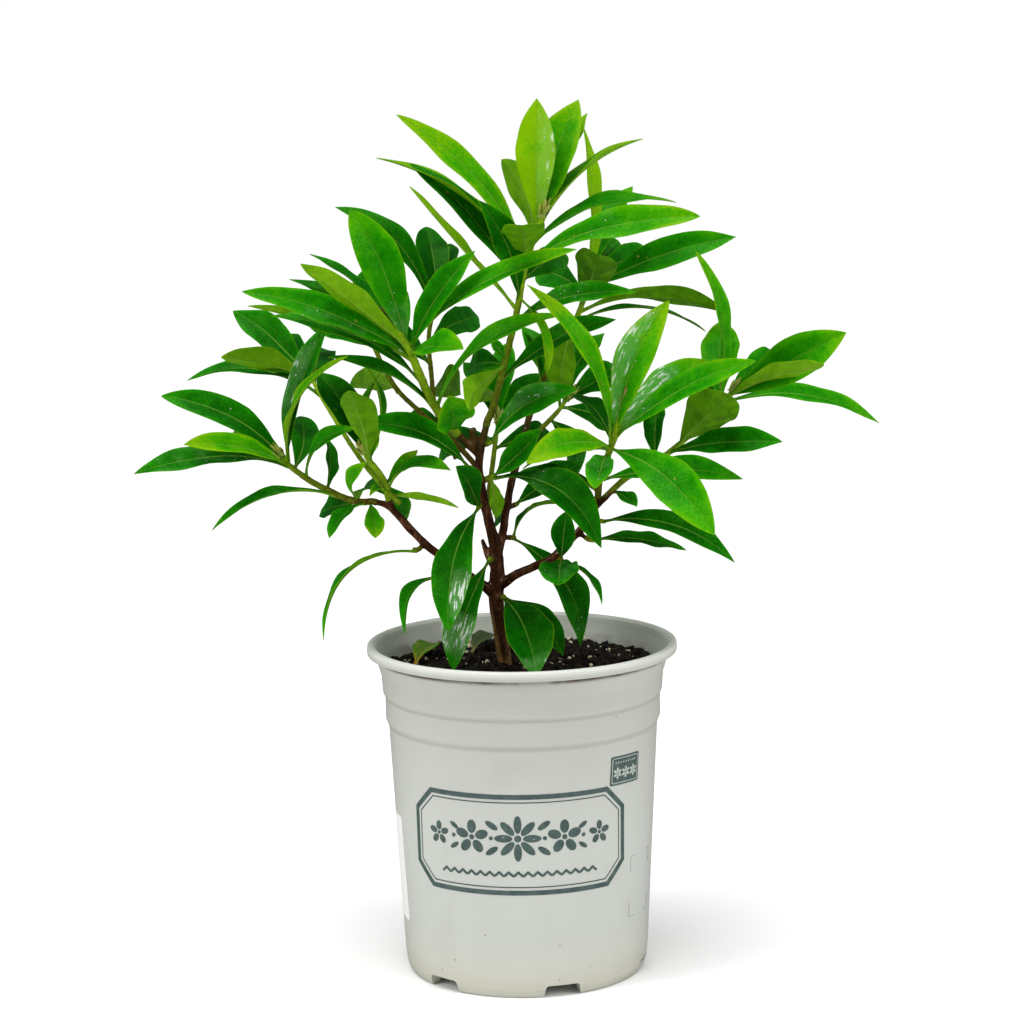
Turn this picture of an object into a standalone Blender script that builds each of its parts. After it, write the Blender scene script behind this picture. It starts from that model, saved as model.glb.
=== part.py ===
# Potted daphne: a woody young shrub with leafy shoots in a filled nursery pot.
# Metres in Blender, millimetres in the lists below, +Z up.
# The origin is the middle of the pot's foot, and the front looks towards -Y.

import math

import bmesh
import bpy
from mathutils import Vector, noise
from mathutils.bvhtree import BVHTree

MM = 0.001
FIT_GAP = 0.3                  # mm between pieces that touch
STRAIGHT_START = 1.2           # mm that a shoot runs on in line with the wood below it
FLAT_DEG = 0.4                 # faces that turn less than this count as one flat face

# Pot: a thin moulded nursery pot, 6.5 in across its rim and 5 in at its foot
RIM_RADIUS = 82.5
POT_HEIGHT = 177.0
FOOT_RADIUS = 62.7
FOOT_INNER_RADIUS = 57.5
WALL = 1.5
FLOOR_HEIGHT = 8.0
POT_STEPS = 36
NOTCHES = 6
NOTCH_WIDTH = 21.0
NOTCH_TAPER = 0.86             # the notch's width at its top, as a share
NOTCH_HEIGHT = 6.5
FIRST_NOTCH_DEG = 16.6
DRAIN_HOLES = 6
DRAIN_RADIUS = 4.0
DRAIN_CIRCLE = 40.0

# The wall's outside from above the foot to under the rim: radius, height.
# A straight taper, then two shallow bands, then a flare into the rim.
WALL_LINE = [
    (65.4, 12.0), (71.6, 133.4), (73.2, 137.2), (73.2, 148.8), (74.4, 151.6),
    (75.0, 160.5), (76.4, 165.2), (78.2, 171.5),
]
# The rolled rim from its crest down its outside and in under its lip, and the rounded foot
RIM_LINE = [(80.8, POT_HEIGHT), (82.2, 176.3), (RIM_RADIUS, 174.0), (82.3, 172.0),
            (81.0, 171.6), (79.6, 173.2)]
FOOT_LINE = [(64.6, 4.5), (63.6, 1.6), (FOOT_RADIUS, 0.0)]
RIM_INSIDE = [(77.6, 175.6), (79.0, 176.8)]

# Potting mix: its lumpy top, and the hole the trunk stands in
SOIL_TOP = 163.5
SOIL_LUMP = 2.2
SOIL_RINGS = 5
SOIL_GAP = 0.6                 # mm between the mix and the pot's wall
TRUNK_HOLE_RADIUS = 5.3

# Leaves
BLADE = 0.8                    # thickness
LEAF_STATIONS = (0.0, 0.28, 0.58, 0.84, 1.0)
LEAF_STALK = 2.0               # width of the leaf where it leaves the stem
ROOT_SINK = 0.5                # share of the stem's radius at which a leaf's root starts
FOLD_DEG = 13.0                # each half of a blade rises this much
RECURVE = 0.05                 # how far a blade bulges to its upper side, per length

# The viewpoint that front sizes are read from: x and z as seen at the depth y = 0
EYE = Vector((-4.0, -1462.0, 475.0))

# Woody stems: front x, front z, depth y, radius
WOOD = {
    "main": [(-8, 141, 0, 4.2), (-9, 162, 0, 4.3), (-11.5, 182, 0, 3.9), (-13.2, 199, 0, 4.4),
             (-12.3, 212, 0, 4.4), (-13.0, 226, 0, 3.6), (-16.0, 240, -0.5, 2.9),
             (-19.2, 255, -1, 2.7), (-21.2, 268, -2, 2.6), (-19.6, 281, -2, 2.5),
             (-16.5, 293, -2, 2.1)],
    "second": [(-13, 219, 0, 3.0), (-10.5, 229, 2.5, 2.7), (-8.4, 239, 4.5, 2.4),
               (-6.4, 251, 8, 2.4), (-3.2, 265, 12, 2.3), (0.8, 277, 16, 2.3),
               (4.0, 290, 20, 2.2), (8, 303, 24, 2.0)],
    "right": [(-12, 206, 0, 3.2), (-5, 211, -5, 2.8), (1, 214, -9, 2.6), (9, 217.2, -14, 2.5),
              (17, 221, -19, 2.5), (25, 229, -22, 2.4), (32, 236, -24, 2.3),
              (37.5, 244, -26, 2.1), (41, 252.5, -27, 1.9)],
    "left": [(-13.5, 201, 0, 3.2), (-20, 207, -1.5, 2.9), (-28, 212.5, -2.5, 2.7),
             (-35, 217.5, -3, 2.6), (-42, 223, -4, 2.5), (-50, 229.5, -4, 2.4),
             (-57, 237, -4, 2.4), (-63, 244, -4, 2.3), (-68, 249.5, -4, 2.2)],
}

# Short side stubs of the wood that a shoot continues: front x, front z, depth y, radius
STUBS = {
    "left_crown": [(-21, 277, -2, 2.4), (-27, 283, -4, 2.5), (-32.5, 288.5, -6.8, 2.4)],
    "left_rear": [(-20.8, 266, -1, 2.0), (-22.6, 270.5, 4.5, 1.6)],
    "far_left": [(-66, 248, -4, 2.2), (-71.5, 251.5, -4.2, 2.0), (-76, 252.6, -4, 1.9)],
    "left_fork": [(-67, 248.5, -4, 2.1), (-69, 254.5, -5.6, 1.9)],
    "right_rear": [(38.5, 246.5, -26.4, 1.8), (44.6, 252.4, -23.2, 1.7)],
    "right_low": [(36, 241.5, -25.5, 1.7), (40.3, 240.8, -22.8, 1.4)],
    "right_lower": [(30.5, 234.5, -23.8, 1.7), (35.2, 231.4, -24.8, 1.4)],
    "middle": [(-20.3, 262.5, -1.2, 2.0), (-16.4, 264, -5.6, 1.8)],
    "middle_rear": [(-6.6, 248.5, 7.5, 1.9), (-3.4, 249.5, 11.8, 1.5)],
    "middle_low": [(-9.6, 232.5, 3.2, 2.0), (-5.4, 232.4, 6.6, 1.5)],
    "front_left": [(-18.6, 251.5, -1, 1.9), (-20.6, 249.8, -5.6, 1.5)],
    "front_low": [(-13.4, 219.5, 0, 1.9), (-15.6, 220.8, -6.6, 1.5)],
    "front_pot": [(-12.8, 200, 0, 2.2), (-9.8, 200.4, -6.8, 1.6)],
    "left_blade": [(-21.2, 268, -2, 1.9), (-24.2, 269.4, -6.4, 1.5)],
    "right_blade": [(-19.4, 281.5, -2, 1.8), (-16.2, 282.6, -6.2, 1.4)],
    "left_arc": [(-50, 229.5, -4, 1.8), (-53.4, 227.4, -6.4, 1.4)],
    "left_droop": [(-27, 212, -2.3, 1.8), (-29.8, 211.2, -6.4, 1.4)],
    "right_heart": [(19.5, 223.4, -20, 1.8), (21.2, 220.8, -24.6, 1.4)],
    "rear_left": [(-15.6, 238, 0, 2.0), (-16.4, 242.5, 5.4, 1.6)],
    "rear_right": [(0.4, 276, 15.6, 1.9), (3.6, 280.5, 20.4, 1.6)],
}

# Old cut ends and snags on the wood: front x, front z, depth y, radius
SNAGS = [
    [(-22, 280, -2, 2.4), (-24.2, 291, -5, 2.2)],
    [(-14.5, 218, 0, 2.6), (-17.5, 224, 2.2, 2.1), (-20.2, 232, 4.0, 1.3)],
    [(38, 245.5, -26, 1.5), (45.5, 252.5, -31.5, 1.7), (51, 257, -33.5, 0.8)],
]

# Shoots. Each stem: front x, front z, depth y, radius.
# Each leaf: root x, root z, tip x, tip z (front view), tip's depth past its root, width,
# face (0 shows the upper side to the front, 90 is edge-on, 180 shows the underside),
# and bow, how far the middle arches to the upper side.
SHOOTS = {
    "shoot_crown": {
        "on": "main",
        "stems": [[(-13, 302, -2, 1.9), (-9, 316, -1.6, 1.8),
                   (-5, 331, -1.2, 1.8), (-1, 346, -1, 1.7), (1.6, 358, -1, 1.75),
                   (4.4, 372, -2, 1.6), (8.5, 386, -3, 1.5), (12, 395, -3, 1.5),
                   (14.5, 402, -3.4, 0.7)]],
        "leaves": [
            (12, 395, 12.5, 462, 12, 21, 10, 0),
            (13, 395, 34, 461, 22, 18, 25, 2),
            (13, 396, 38.5, 454, 36, 15, 50, 0),
            (12, 394, 67, 440.5, 30, 16, 78, 4),
            (10, 388, 84, 407.5, 22, 17, 66, 6),
            (6, 378, 96.5, 400, -20, 18, 35, 4),
            (5, 381, -60, 455, -8, 15, 35, 5),
            (4, 377, -71, 433, 25, 17, 80, 5),
            (1.6, 364, -54, 430, 18, 16, 40, 3),
            (1, 358, -18, 410, -34, 17, 32, 3),
            (0, 354, -54, 418, -12, 14, 84, -5),
            (10, 390, -6, 431, 36, 18, 150, 3),
            (5, 378, 4, 397, -70, 22, 180, 0),
            (4, 368, 27, 381, 52, 16, 10, 2),
            (2.2, 360, 16, 320, -20, 10, 60, 3),
            (0, 350, 63, 361, -22, 16, 35, 4),
            (-8, 316, 52, 347, 10, 16, 45, 3),
            (-9, 324, -26, 301, -64, 15, 150, 2),
            (-9, 325, -26, 321, 38, 16, 30, 2),
            (-8, 328, -14, 338, -14, 6, 20, 0),
            (-11, 310, -22, 304, 40, 14, 130, 0),
        ],
    },
    "shoot_top_right": {
        "on": "second",
        "stems": [[(14, 316, 27, 1.8), (21, 329, 30, 1.7), (28, 341, 31, 1.6),
                   (34, 354, 31, 1.5), (37, 364, 31, 1.4), (39.5, 372, 30, 0.7)]],
        "leaves": [
            (36, 360, 44, 380, -60, 20, 180, 0),
            (38, 366, 54, 388, 52, 17, 0, 2),
            (37, 363, 115, 389, -8, 18, 25, 2),
            (33, 352, 112, 348.5, 14, 17, 120, 5),
            (31, 347, 99, 340, 38, 9, 80, 6),
            (38, 367, 36.5, 447, 18, 16, 64, 0),
            (39, 368, 61.5, 416, 44, 15, 30, 2),
            (29, 343, 24, 309, -26, 18, 160, 2),
            (13, 314, 4, 341, -14, 8, 60, 0),
            (36, 360, 12, 373, 60, 18, 0, 3),
            (38, 368, 72, 379, 58, 18, 10, 3),
        ],
    },
    "shoot_left_crown": {
        "on": "left_crown",
        "stems": [[(-38, 295, -9, 2.3), (-43, 302, -11, 2.3),
                   (-48, 312, -14, 2.2), (-52, 322, -16, 2.2), (-56, 332, -18, 2.0),
                   (-60, 340, -20, 1.8), (-63.5, 347, -22, 1.7), (-66, 352, -23.5, 0.7)]],
        "leaves": [
            (-57, 335, -85, 406, -14, 22, 10, 3),
            (-54, 333, -21, 384, -20, 15, 30, 2),
            (-56, 335, 32, 384, -30, 15, 52, 5),
            (-57, 336, -107, 384, 28, 15, 70, 2),
            (-57, 335, -112, 379, -34, 17, 135, -2),
            (-56, 333, -118, 371, 34, 15, 50, 2),
            (-55, 330, -143, 365, -18, 17, 35, 3),
            (-54, 328, -140, 357.5, 10, 14, 120, 0),
            (-50, 316, -128, 352, -4, 16, 50, 5),
            (-43, 302, -99, 330, -14, 12, 62, 3),
            (-54, 330, -28, 333, -80, 18, 55, 0),
            (-43, 303, 27, 350, -30, 13, 55, 9),
            (-34, 290, -36, 308, -46, 22, 20, 0),
            (-57, 336, -75, 372, 50, 18, 10, 3),
        ],
    },
    "shoot_left_rear": {
        "on": "left_rear",
        "stems": [[(-31, 281, 11, 1.5), (-40, 290, 16, 1.5),
                   (-48, 297, 19, 1.4), (-56, 304.5, 22, 1.3), (-63, 312, 24, 1.3),
                   (-69, 322, 26, 1.3), (-75, 336, 29, 1.2), (-78, 345, 31, 0.7)],
                  [(-38, 288, 15, 1.3), (-43, 301, 19, 1.3), (-45, 320, 24, 1.3),
                   (-46, 339, 26, 1.2), (-43, 354, 27, 1.2), (-41, 363, 27, 0.7)]],
        "leaves": [
            (-42, 358, -46, 397, 42, 18, 15, 1),
            (-41, 360, -33, 388, 46, 16, 20, 1),
            (-44, 352, -93, 408, 12, 16, 40, 9),
            (-44, 312, -30, 309, 42, 22, 150, 2),
            (-46, 336, -20, 350, 58, 17, 10, 2),
            (-45, 325, -76, 342, 60, 17, 20, 3),
            (-62, 311, -88, 314, 52, 17, 130, 2),
            (-36, 286, -63, 294, 45, 15, 30, 3),
            (-74, 334, -110, 350, 55, 18, 10, 3),
            (-76, 341, -72, 378, 48, 17, 10, 3),
            (-77, 343, -100, 366, 46, 17, 20, 3),
        ],
    },
    "shoot_left_fork": {
        "on": "left_fork",
        "stems": [[(-69.6, 260, -7, 1.8), (-73, 267, -10, 1.7),
                   (-79, 275, -13, 1.6), (-82, 280, -15, 0.7)],
                  [(-69.8, 259, -6.5, 1.4), (-76, 266, 2, 1.4), (-86, 280, 14, 1.3),
                   (-96, 297, 26, 1.3), (-104, 311, 34, 1.2), (-109, 321, 38, 0.7)]],
        "leaves": [
            (-80, 275, -105, 322, 28, 20, 25, 2),
            (-79, 274, -88, 312, -60, 18, 160, 0),
            (-80, 276, -81, 327, 6, 12, 80, 6),
            (-79, 275, -72, 321, 12, 12, 80, 3),
            (-79, 274, -74, 292, 2, 6, 20, 0),
            (-70, 262, -53, 280, 12, 8, 30, 0),
            (-69, 261, -36, 269, -20, 14, 66, 6),
            (-69, 257, -32, 249, -16, 9, 115, -1),
            (-69, 256, -85, 254, 34, 14, 60, 5),
            (-70, 257, -79, 256, -14, 5, 60, 3),
            (-73, 263, -59, 244, 24, 12, 30, 0),
            (-107, 317, -148, 355, 28, 19, 20, 2),
            (-108, 319, -155, 331, -25, 17, 135, 0),
            (-104, 310, -173, 319, 8, 15, 56, 7),
            (-108, 320, -126, 338, 60, 18, 0, 3),
            (-107, 316, -100, 334, 52, 17, 10, 2),
        ],
    },
    "shoot_far_left": {
        "on": "far_left",
        "stems": [[(-85, 253, -3, 1.8), (-93, 255.5, -1, 1.7),
                   (-100, 259, 0, 1.7), (-110, 264.5, 2, 1.6), (-121, 273, 4, 1.5),
                   (-125.5, 279, 5, 0.7)]],
        "leaves": [
            (-122, 275, -187, 311, 12, 17, 25, 6),
            (-121, 273, -176, 285, -32, 16, 50, 2),
            (-121, 272, -203, 270, -32, 16, 45, 4),
            (-121, 275, -98, 348, -18, 17, 50, 2),
            (-121, 276, -89, 330, -40, 14, 84, 7),
            (-97, 257, -163, 239, -22, 12, 68, 6),
            (-113, 267, -86, 292, -22, 12, 60, 5),
            (-101, 260, -100, 287, 28, 12, 55, 0),
            (-86, 253, -80, 274, -16, 9, 50, 5),
            (-84, 253, -105.5, 247, 30, 14, 40, 0),
            (-81, 252.7, -101, 234, -22, 12, 60, 2),
            (-79, 252.6, -76.5, 233.5, -14, 11, 20, 0),
            (-120, 272, -150, 291, 58, 17, 0, 3),
            (-118, 271, -114, 299, 56, 16, 0, 3),
        ],
    },
    "shoot_right": {
        "on": "right",
        "stems": [[(42.4, 262, -28, 1.8), (45.4, 271, -29, 1.8),
                   (48.8, 280, -30, 1.7), (51, 287, -31, 2.0), (53.5, 296, -32, 1.5),
                   (55, 301, -33, 0.6)]],
        "leaves": [
            (48.8, 282, 6, 366, -22, 13, 48, 7),
            (51, 285, 80, 356.5, -6, 20, 15, 4),
            (51, 284, 125, 324, -28, 19, 30, 3),
            (51, 286, 90, 322, 40, 17, 20, 2),
            (48, 280, 4, 272, -38, 16, 25, 5),
            (48, 279, 2, 269, 36, 14, 60, 2),
            (48.6, 279, 103, 232, -52, 23, 10, 6),
            (46, 276, 40, 258, -62, 14, 20, 0),
            (49, 282, 27, 308, 42, 15, 50, 3),
            (43, 262, 118, 261.5, 8, 15, 36, 3),
            (41.5, 257, 20, 264, 20, 12, 120, 0),
            (41.6, 259, 0, 267, 22, 14, 40, 0),
            (50, 284, 66, 300, 58, 18, 10, 3),
        ],
    },
    "shoot_right_rear": {
        "on": "right_rear",
        "stems": [[(55, 262, -16, 1.6), (65, 268, -9, 1.6),
                   (75, 273.5, -3, 1.6), (82, 278.5, 2, 1.5), (91, 286, 6, 1.4),
                   (100, 295, 10, 1.4), (108, 303, 13, 1.3), (113, 309, 15, 0.7)]],
        "leaves": [
            (72, 272, 74, 304, 30, 13, 30, 0),
            (49, 257, 62, 248, -14, 9, 45, 0),
            (84, 280, 112, 306, -42, 26, 165, 0),
            (79, 276, 139, 281, -30, 16, 30, 1),
            (110, 305, 172.5, 338, -20, 23, 10, 0),
            (110, 305, 161, 321.5, -45, 15, 130, 0),
            (108, 302, 190, 290, 38, 15, 52, 6),
            (105, 300, 94, 382, -14, 13, 60, 5),
            (106, 302, 107, 345, 40, 21, 10, 0),
            (110, 306, 142, 325, 60, 19, 5, 3),
            (108, 304, 90, 320, 56, 18, 0, 3),
            (95, 290, 112, 300, 58, 18, 10, 2),
        ],
    },
    "spur_right_low": {
        "on": "right_low",
        "stems": [[(45, 240, -20, 1.1)]],
        "leaves": [(43, 240.4, 113.5, 217, -22, 15, 38, 7)],
    },
    "spur_right_lower": {
        "on": "right_lower",
        "stems": [[(40, 230, -24, 1.1)]],
        "leaves": [(38, 230.4, 88, 224, 20, 12, 52, 1)],
    },
    "spur_middle": {
        "on": "middle",
        "stems": [[(-13, 265, -9, 1.4)]],
        "leaves": [
            (-13.5, 264, 43, 226, -46, 22, 35, 11),
            (-14, 265, 12, 290, -20, 15, 30, -2),
            (-14.6, 264, -12, 243, -7, 9, 150, 0),
        ],
    },
    "spur_middle_rear": {
        "on": "middle_rear",
        "stems": [[(-1, 250.5, 15, 1.2)]],
        "leaves": [
            (-2, 250, 34, 272, 24, 17, 30, 0),
            (-2.4, 250, -13, 242, 34, 14, 40, 0),
        ],
    },
    "spur_middle_low": {
        "on": "middle_low",
        "stems": [[(-2.6, 232, 9, 1.2)]],
        "leaves": [
            (-4, 232, 31, 173, 4, 20, 35, 9),
            (-4, 232.4, 21, 250, 26, 9, 84, 5),
        ],
    },
    "spur_front_left": {
        "on": "front_left",
        "stems": [[(-22, 248.4, -9, 1.2)]],
        "leaves": [
            (-21.6, 248.6, -39, 182, -52, 21, 15, 5),
            (-21.4, 249, -33, 271, -34, 16, 35, 0),
        ],
    },
    "spur_front_low": {
        "on": "front_low",
        "stems": [[(-16.4, 221, -10, 1.2)]],
        "leaves": [(-16.2, 221, -37, 161, -27, 18, 25, 2)],
    },
    "spur_front_pot": {
        "on": "front_pot",
        "stems": [[(-8.6, 200.2, -10, 1.2)]],
        "leaves": [
            (-9, 200.2, 8, 157, -48, 22, 20, 3),
            (-9, 200.4, 22, 168, -22, 16, 40, 3),
        ],
    },
    "spur_left_blade": {
        "on": "left_blade",
        "stems": [[(-27, 270.6, -8.6, 1.2)]],
        "leaves": [(-25.8, 270, -84, 294, -18, 17, 40, 6)],
    },
    "spur_right_blade": {
        "on": "right_blade",
        "stems": [[(-14, 283.6, -9.4, 1.1)]],
        "leaves": [(-15, 283, 32, 311, -14, 16, 25, 6)],
    },
    "spur_left_arc": {
        "on": "left_arc",
        "stems": [[(-56.5, 227, -9, 1.1)]],
        "leaves": [(-55, 227.2, -105.5, 179, -28, 13, 84, 13)],
    },
    "spur_left_droop": {
        "on": "left_droop",
        "stems": [[(-32, 211.6, -9.4, 1.1)]],
        "leaves": [(-31, 211.4, -62, 181, -20, 13, 68, 12)],
    },
    "spur_right_heart": {
        "on": "right_heart",
        "stems": [[(22, 219.4, -28, 1.2)]],
        "leaves": [
            (21.6, 220, 20, 206.5, -28, 21, 10, 0),
            (21.6, 220.4, 25, 246, -12, 13, 10, 0),
            (21.8, 219.8, 43, 196, -18, 9, 72, 3),
        ],
    },
    "shoot_rear_left": {
        "on": "rear_left",
        "stems": [[(-16, 256, 18, 1.5), (-14, 270, 30, 1.4), (-12, 284, 40, 1.3),
                   (-10.5, 295, 46, 0.7)]],
        "leaves": [
            (-11, 290, 18, 318, 46, 17, 20, 3),
            (-11, 292, -28, 326, 40, 16, 20, 3),
            (-12, 285, -42, 276, 46, 17, 30, 3),
            (-13, 280, 20, 283, 48, 17, 20, 3),
            (-11, 292, -4, 336, 30, 16, 10, 2),
        ],
    },
    "shoot_rear_right": {
        "on": "rear_right",
        "stems": [[(10, 288, 34, 1.4), (20, 298, 45, 1.3), (27, 307, 52, 0.7)]],
        "leaves": [
            (25, 304, 60, 318, 40, 17, 20, 3),
            (26, 305, 22, 344, 38, 17, 10, 3),
            (24, 303, 46, 340, 28, 15, 30, 3),
            (22.4, 301.4, 3, 344, 32, 16, 20, 3),
            (23, 301, 54, 288, 44, 17, 20, 3),
            (17, 295, 32, 268, 42, 17, 30, 2),
        ],
    },
}

# Leaves that have dropped on the potting mix: root x, root y, tip x, tip y, width, lift of the tip
DROPPED = {
    "dropped_leaf_left": (-57, 0, -46, 42, 15, 3),
    "dropped_leaf_rear": (-27, 24, -13, 60, 14, 2),
}

# Colours: base colour, roughness
COLOURS = {
    "pot": ((0.62, 0.64, 0.60), 0.5),
    "mix": ((0.020, 0.014, 0.010), 0.95),
    "bark": ((0.10, 0.055, 0.028), 0.85),
    "leaf": ((0.045, 0.22, 0.02), 0.4),
    "dropped": ((0.30, 0.32, 0.03), 0.55),
}


# Scene and objects

def clear_scene():
    for ob in list(bpy.data.objects):
        bpy.data.objects.remove(ob, do_unlink=True)


def new_collection(name):
    collection = bpy.data.collections.new(name)
    bpy.context.scene.collection.children.link(collection)
    return collection


def material(name):
    colour, roughness = COLOURS[name]
    mat = bpy.data.materials.get(name)
    if mat is None:
        mat = bpy.data.materials.new(name)
        mat.use_nodes = True
        shader = mat.node_tree.nodes["Principled BSDF"]
        shader.inputs["Base Color"].default_value = (*colour, 1)
        shader.inputs["Roughness"].default_value = roughness
        shader.inputs["Metallic"].default_value = 0.0
    return mat


def add_object(name, data, collection, colour=None):
    ob = bpy.data.objects.new(name, data)
    collection.objects.link(ob)
    if colour:
        data.materials.append(material(colour))
    return ob


def baked(ob, flatten=False):
    """The object's mesh as its modifiers leave it, with doubled corners welded.

    Flattening takes away the cuts that a union leaves across flat faces."""
    graph = bpy.context.evaluated_depsgraph_get()
    graph.update()
    mesh = bpy.data.meshes.new_from_object(ob.evaluated_get(graph))
    bm = bmesh.new()
    bm.from_mesh(mesh)
    bmesh.ops.remove_doubles(bm, verts=bm.verts, dist=0.0000005 if flatten else 0.00001)
    if flatten:
        bmesh.ops.dissolve_limit(bm, angle_limit=math.radians(FLAT_DEG), verts=bm.verts,
                                 edges=bm.edges)
    bmesh.ops.triangulate(bm, faces=bm.faces)
    bm.to_mesh(mesh)
    bm.free()
    return mesh


def drop(ob):
    bpy.data.objects.remove(ob, do_unlink=True)


def union(base, extras, name, parts, colour):
    """One solid of a base object and a collection of others, which are then removed."""
    if extras.objects:
        join = base.modifiers.new("Join", "BOOLEAN")
        join.operation = "UNION"
        join.operand_type = "COLLECTION"
        join.collection = extras
        join.solver = "MANIFOLD"
    mesh = baked(base, flatten=True)
    drop(base)
    for ob in list(extras.objects):
        drop(ob)
    bpy.data.collections.remove(extras)
    mesh.materials.clear()
    mesh.shade_smooth()
    mesh.set_sharp_from_angle(angle=math.radians(40))
    return add_object(name, mesh, parts, colour)


# Places

def from_front(x, z, y):
    """The point at depth y that is seen at x, z in the front view."""
    spread = (y - EYE.y) / -EYE.y
    return Vector((EYE.x + (x - EYE.x) * spread, y, EYE.z + (z - EYE.z) * spread))


def stem_points(rows):
    return [(from_front(x, z, y), radius) for x, z, y, radius in rows]


def to_front(point):
    """Where a point is seen in the front view."""
    spread = (point.y - EYE.y) / -EYE.y
    return Vector((EYE.x + (point.x - EYE.x) / spread, EYE.z + (point.z - EYE.z) / spread))


def nearest_in_front_view(stems, x, z):
    """The stem point that is seen closest to x, z in the front view, and its radius."""
    seen = Vector((x, z))
    best, best_gap = None, None
    for stem in stems:
        for (a, radius_a), (b, radius_b) in zip(stem, stem[1:]):
            start, step = to_front(a), to_front(b) - to_front(a)
            share = (seen - start).dot(step) / step.length_squared
            share = max(0.0, min(1.0, share))
            gap = (start + step * share - seen).length
            if best is None or gap < best_gap:
                best = (a.lerp(b, share), radius_a + (radius_b - radius_a) * share)
                best_gap = gap
    return best


# Stems and wood

def wood_end(name):
    """Where a stretch of wood ends, its radius there, and the way it points."""
    rows = stem_points(WOOD.get(name) or STUBS[name])
    (before, _), (end, radius) = rows[-2:]
    return end, radius, (end - before).normalized()


def shoot_stem(on, rows):
    """A shoot's own stem, which starts in line with the wood and clear of its end."""
    end, radius, heading = wood_end(on)
    start = [(end + heading * FIT_GAP, radius * 0.96),
             (end + heading * (FIT_GAP + STRAIGHT_START), radius * 0.94)]
    return start + stem_points(rows)


def tube(name, points, collection, sides=2):
    """A round stem along points with a radius each, as a closed mesh."""
    curve = bpy.data.curves.new(name, "CURVE")
    curve.dimensions = "3D"
    curve.bevel_depth = MM
    curve.bevel_resolution = sides
    curve.use_fill_caps = True
    spline = curve.splines.new("POLY")
    spline.points.add(len(points) - 1)
    for knot, (place, radius) in zip(spline.points, points):
        knot.co = (*(place * MM), 1)
        knot.radius = radius
    ob = add_object(name, curve, collection)
    mesh = baked(ob)
    drop(ob)
    return add_object(name, mesh, collection)


def make_trunk(parts, spare):
    extras = new_collection("wood to join")
    base = tube("trunk wood", stem_points(WOOD["main"]), spare)
    for name, rows in list(WOOD.items())[1:]:
        tube(name + " wood", stem_points(rows), extras)
    for name, rows in STUBS.items():
        tube(name + " stub", stem_points(rows), extras, sides=1)
    for number, rows in enumerate(SNAGS):
        tube(f"snag {number}", stem_points(rows), extras, sides=1)
    union(base, extras, "trunk", parts, "bark")


# Leaves

def half_width(share, width):
    """Half the blade's width at a share of its length: widest past the middle, pointed."""
    swell = max(0.0, math.sin(math.pi * share ** 1.3)) ** 0.85
    stalk = LEAF_STALK / 2 * (1 - share)
    return max(width / 2 * swell, stalk)


def leaf_axes(root, tip, face):
    """Directions along, across and out of the upper side of a leaf."""
    along = (tip - root).normalized()
    to_eye = (EYE - (root + tip) / 2).normalized()
    facing = (to_eye - along * to_eye.dot(along)).normalized()
    upper = along.cross(facing)
    if tip.x >= root.x:
        upper = -upper
    turn = math.radians(face)
    out = facing * math.cos(turn) + upper * math.sin(turn)
    return along, out.cross(along), out, upper


def leaf(name, root, tip, width, out, across, bend, collection):
    """A thin folded blade from its root to its tip, its middle moved by bend."""
    length = (tip - root).length
    middle = (root + tip) / 2 + bend + out * (RECURVE * length)
    control = middle * 2 - (root + tip) / 2
    rise = math.tan(math.radians(FOLD_DEG))
    bm = bmesh.new()
    rows = len(LEAF_STATIONS) - 1
    bmesh.ops.create_grid(bm, x_segments=2, y_segments=rows, size=1.0)
    for vert in bm.verts:
        side = round(vert.co.x)
        share = LEAF_STATIONS[round((vert.co.y + 1) / 2 * rows)]
        half = 0.0 if share == 1.0 else half_width(share, width)
        on_line = root * (1 - share) ** 2 + control * 2 * share * (1 - share) + tip * share ** 2
        vert.co = (on_line + across * (half * side) + out * (half * rise * abs(side))) * MM
    bmesh.ops.remove_doubles(bm, verts=bm.verts, dist=0.00001)
    bmesh.ops.triangulate(bm, faces=bm.faces)
    mesh = bpy.data.meshes.new(name)
    bm.to_mesh(mesh)
    bm.free()
    ob = add_object(name, mesh, collection)
    thick = ob.modifiers.new("Thickness", "SOLIDIFY")
    thick.thickness = BLADE * MM
    thick.offset = 0.0
    return ob


def front_leaf(name, stems, row, collection):
    root_x, root_z, tip_x, tip_z, deeper, width, face, bow = row
    root, radius = nearest_in_front_view(stems, root_x, root_z)
    tip = from_front(tip_x, tip_z, root.y + deeper)
    root = root + (tip - root).normalized() * (radius * ROOT_SINK)
    along, across, out, upper = leaf_axes(root, tip, face)
    return leaf(name, root, tip, width, out, across, upper * bow, collection)


def make_shoot(name, plan, parts, spare):
    extras = new_collection(name + " to join")
    stems = [shoot_stem(plan["on"], plan["stems"][0])]
    stems += [stem_points(rows) for rows in plan["stems"][1:]]
    base = tube(name + " stem", stems[0], spare, sides=1)
    for number, points in enumerate(stems[1:]):
        tube(f"{name} side stem {number}", points, extras, sides=1)
    for number, row in enumerate(plan["leaves"]):
        front_leaf(f"{name} leaf {number}", stems, row, extras)
    union(base, extras, name, parts, "leaf")


# Pot and potting mix

def turned(name, profile, collection, steps=POT_STEPS):
    """A solid turned about Z from a closed outline of radius and height, top to bottom."""
    mesh = bpy.data.meshes.new(name)
    corners = [(radius * MM, 0, height * MM) for radius, height in profile]
    edges = [(i, (i + 1) % len(corners)) for i in range(len(corners))]
    if profile[0][0] == 0 and profile[-1][0] == 0:
        edges.pop()
    mesh.from_pydata(corners, edges, [])
    ob = add_object(name, mesh, collection)
    spin = ob.modifiers.new("Turn", "SCREW")
    spin.steps = spin.render_steps = steps
    spin.use_merge_vertices = True
    spin.merge_threshold = 0.00005
    return ob


def inside_line(gap):
    """The wall's inside, moved in by a gap: radius, height, from the floor's edge up."""
    return [(radius - WALL - gap, height) for radius, height in WALL_LINE]


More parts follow.
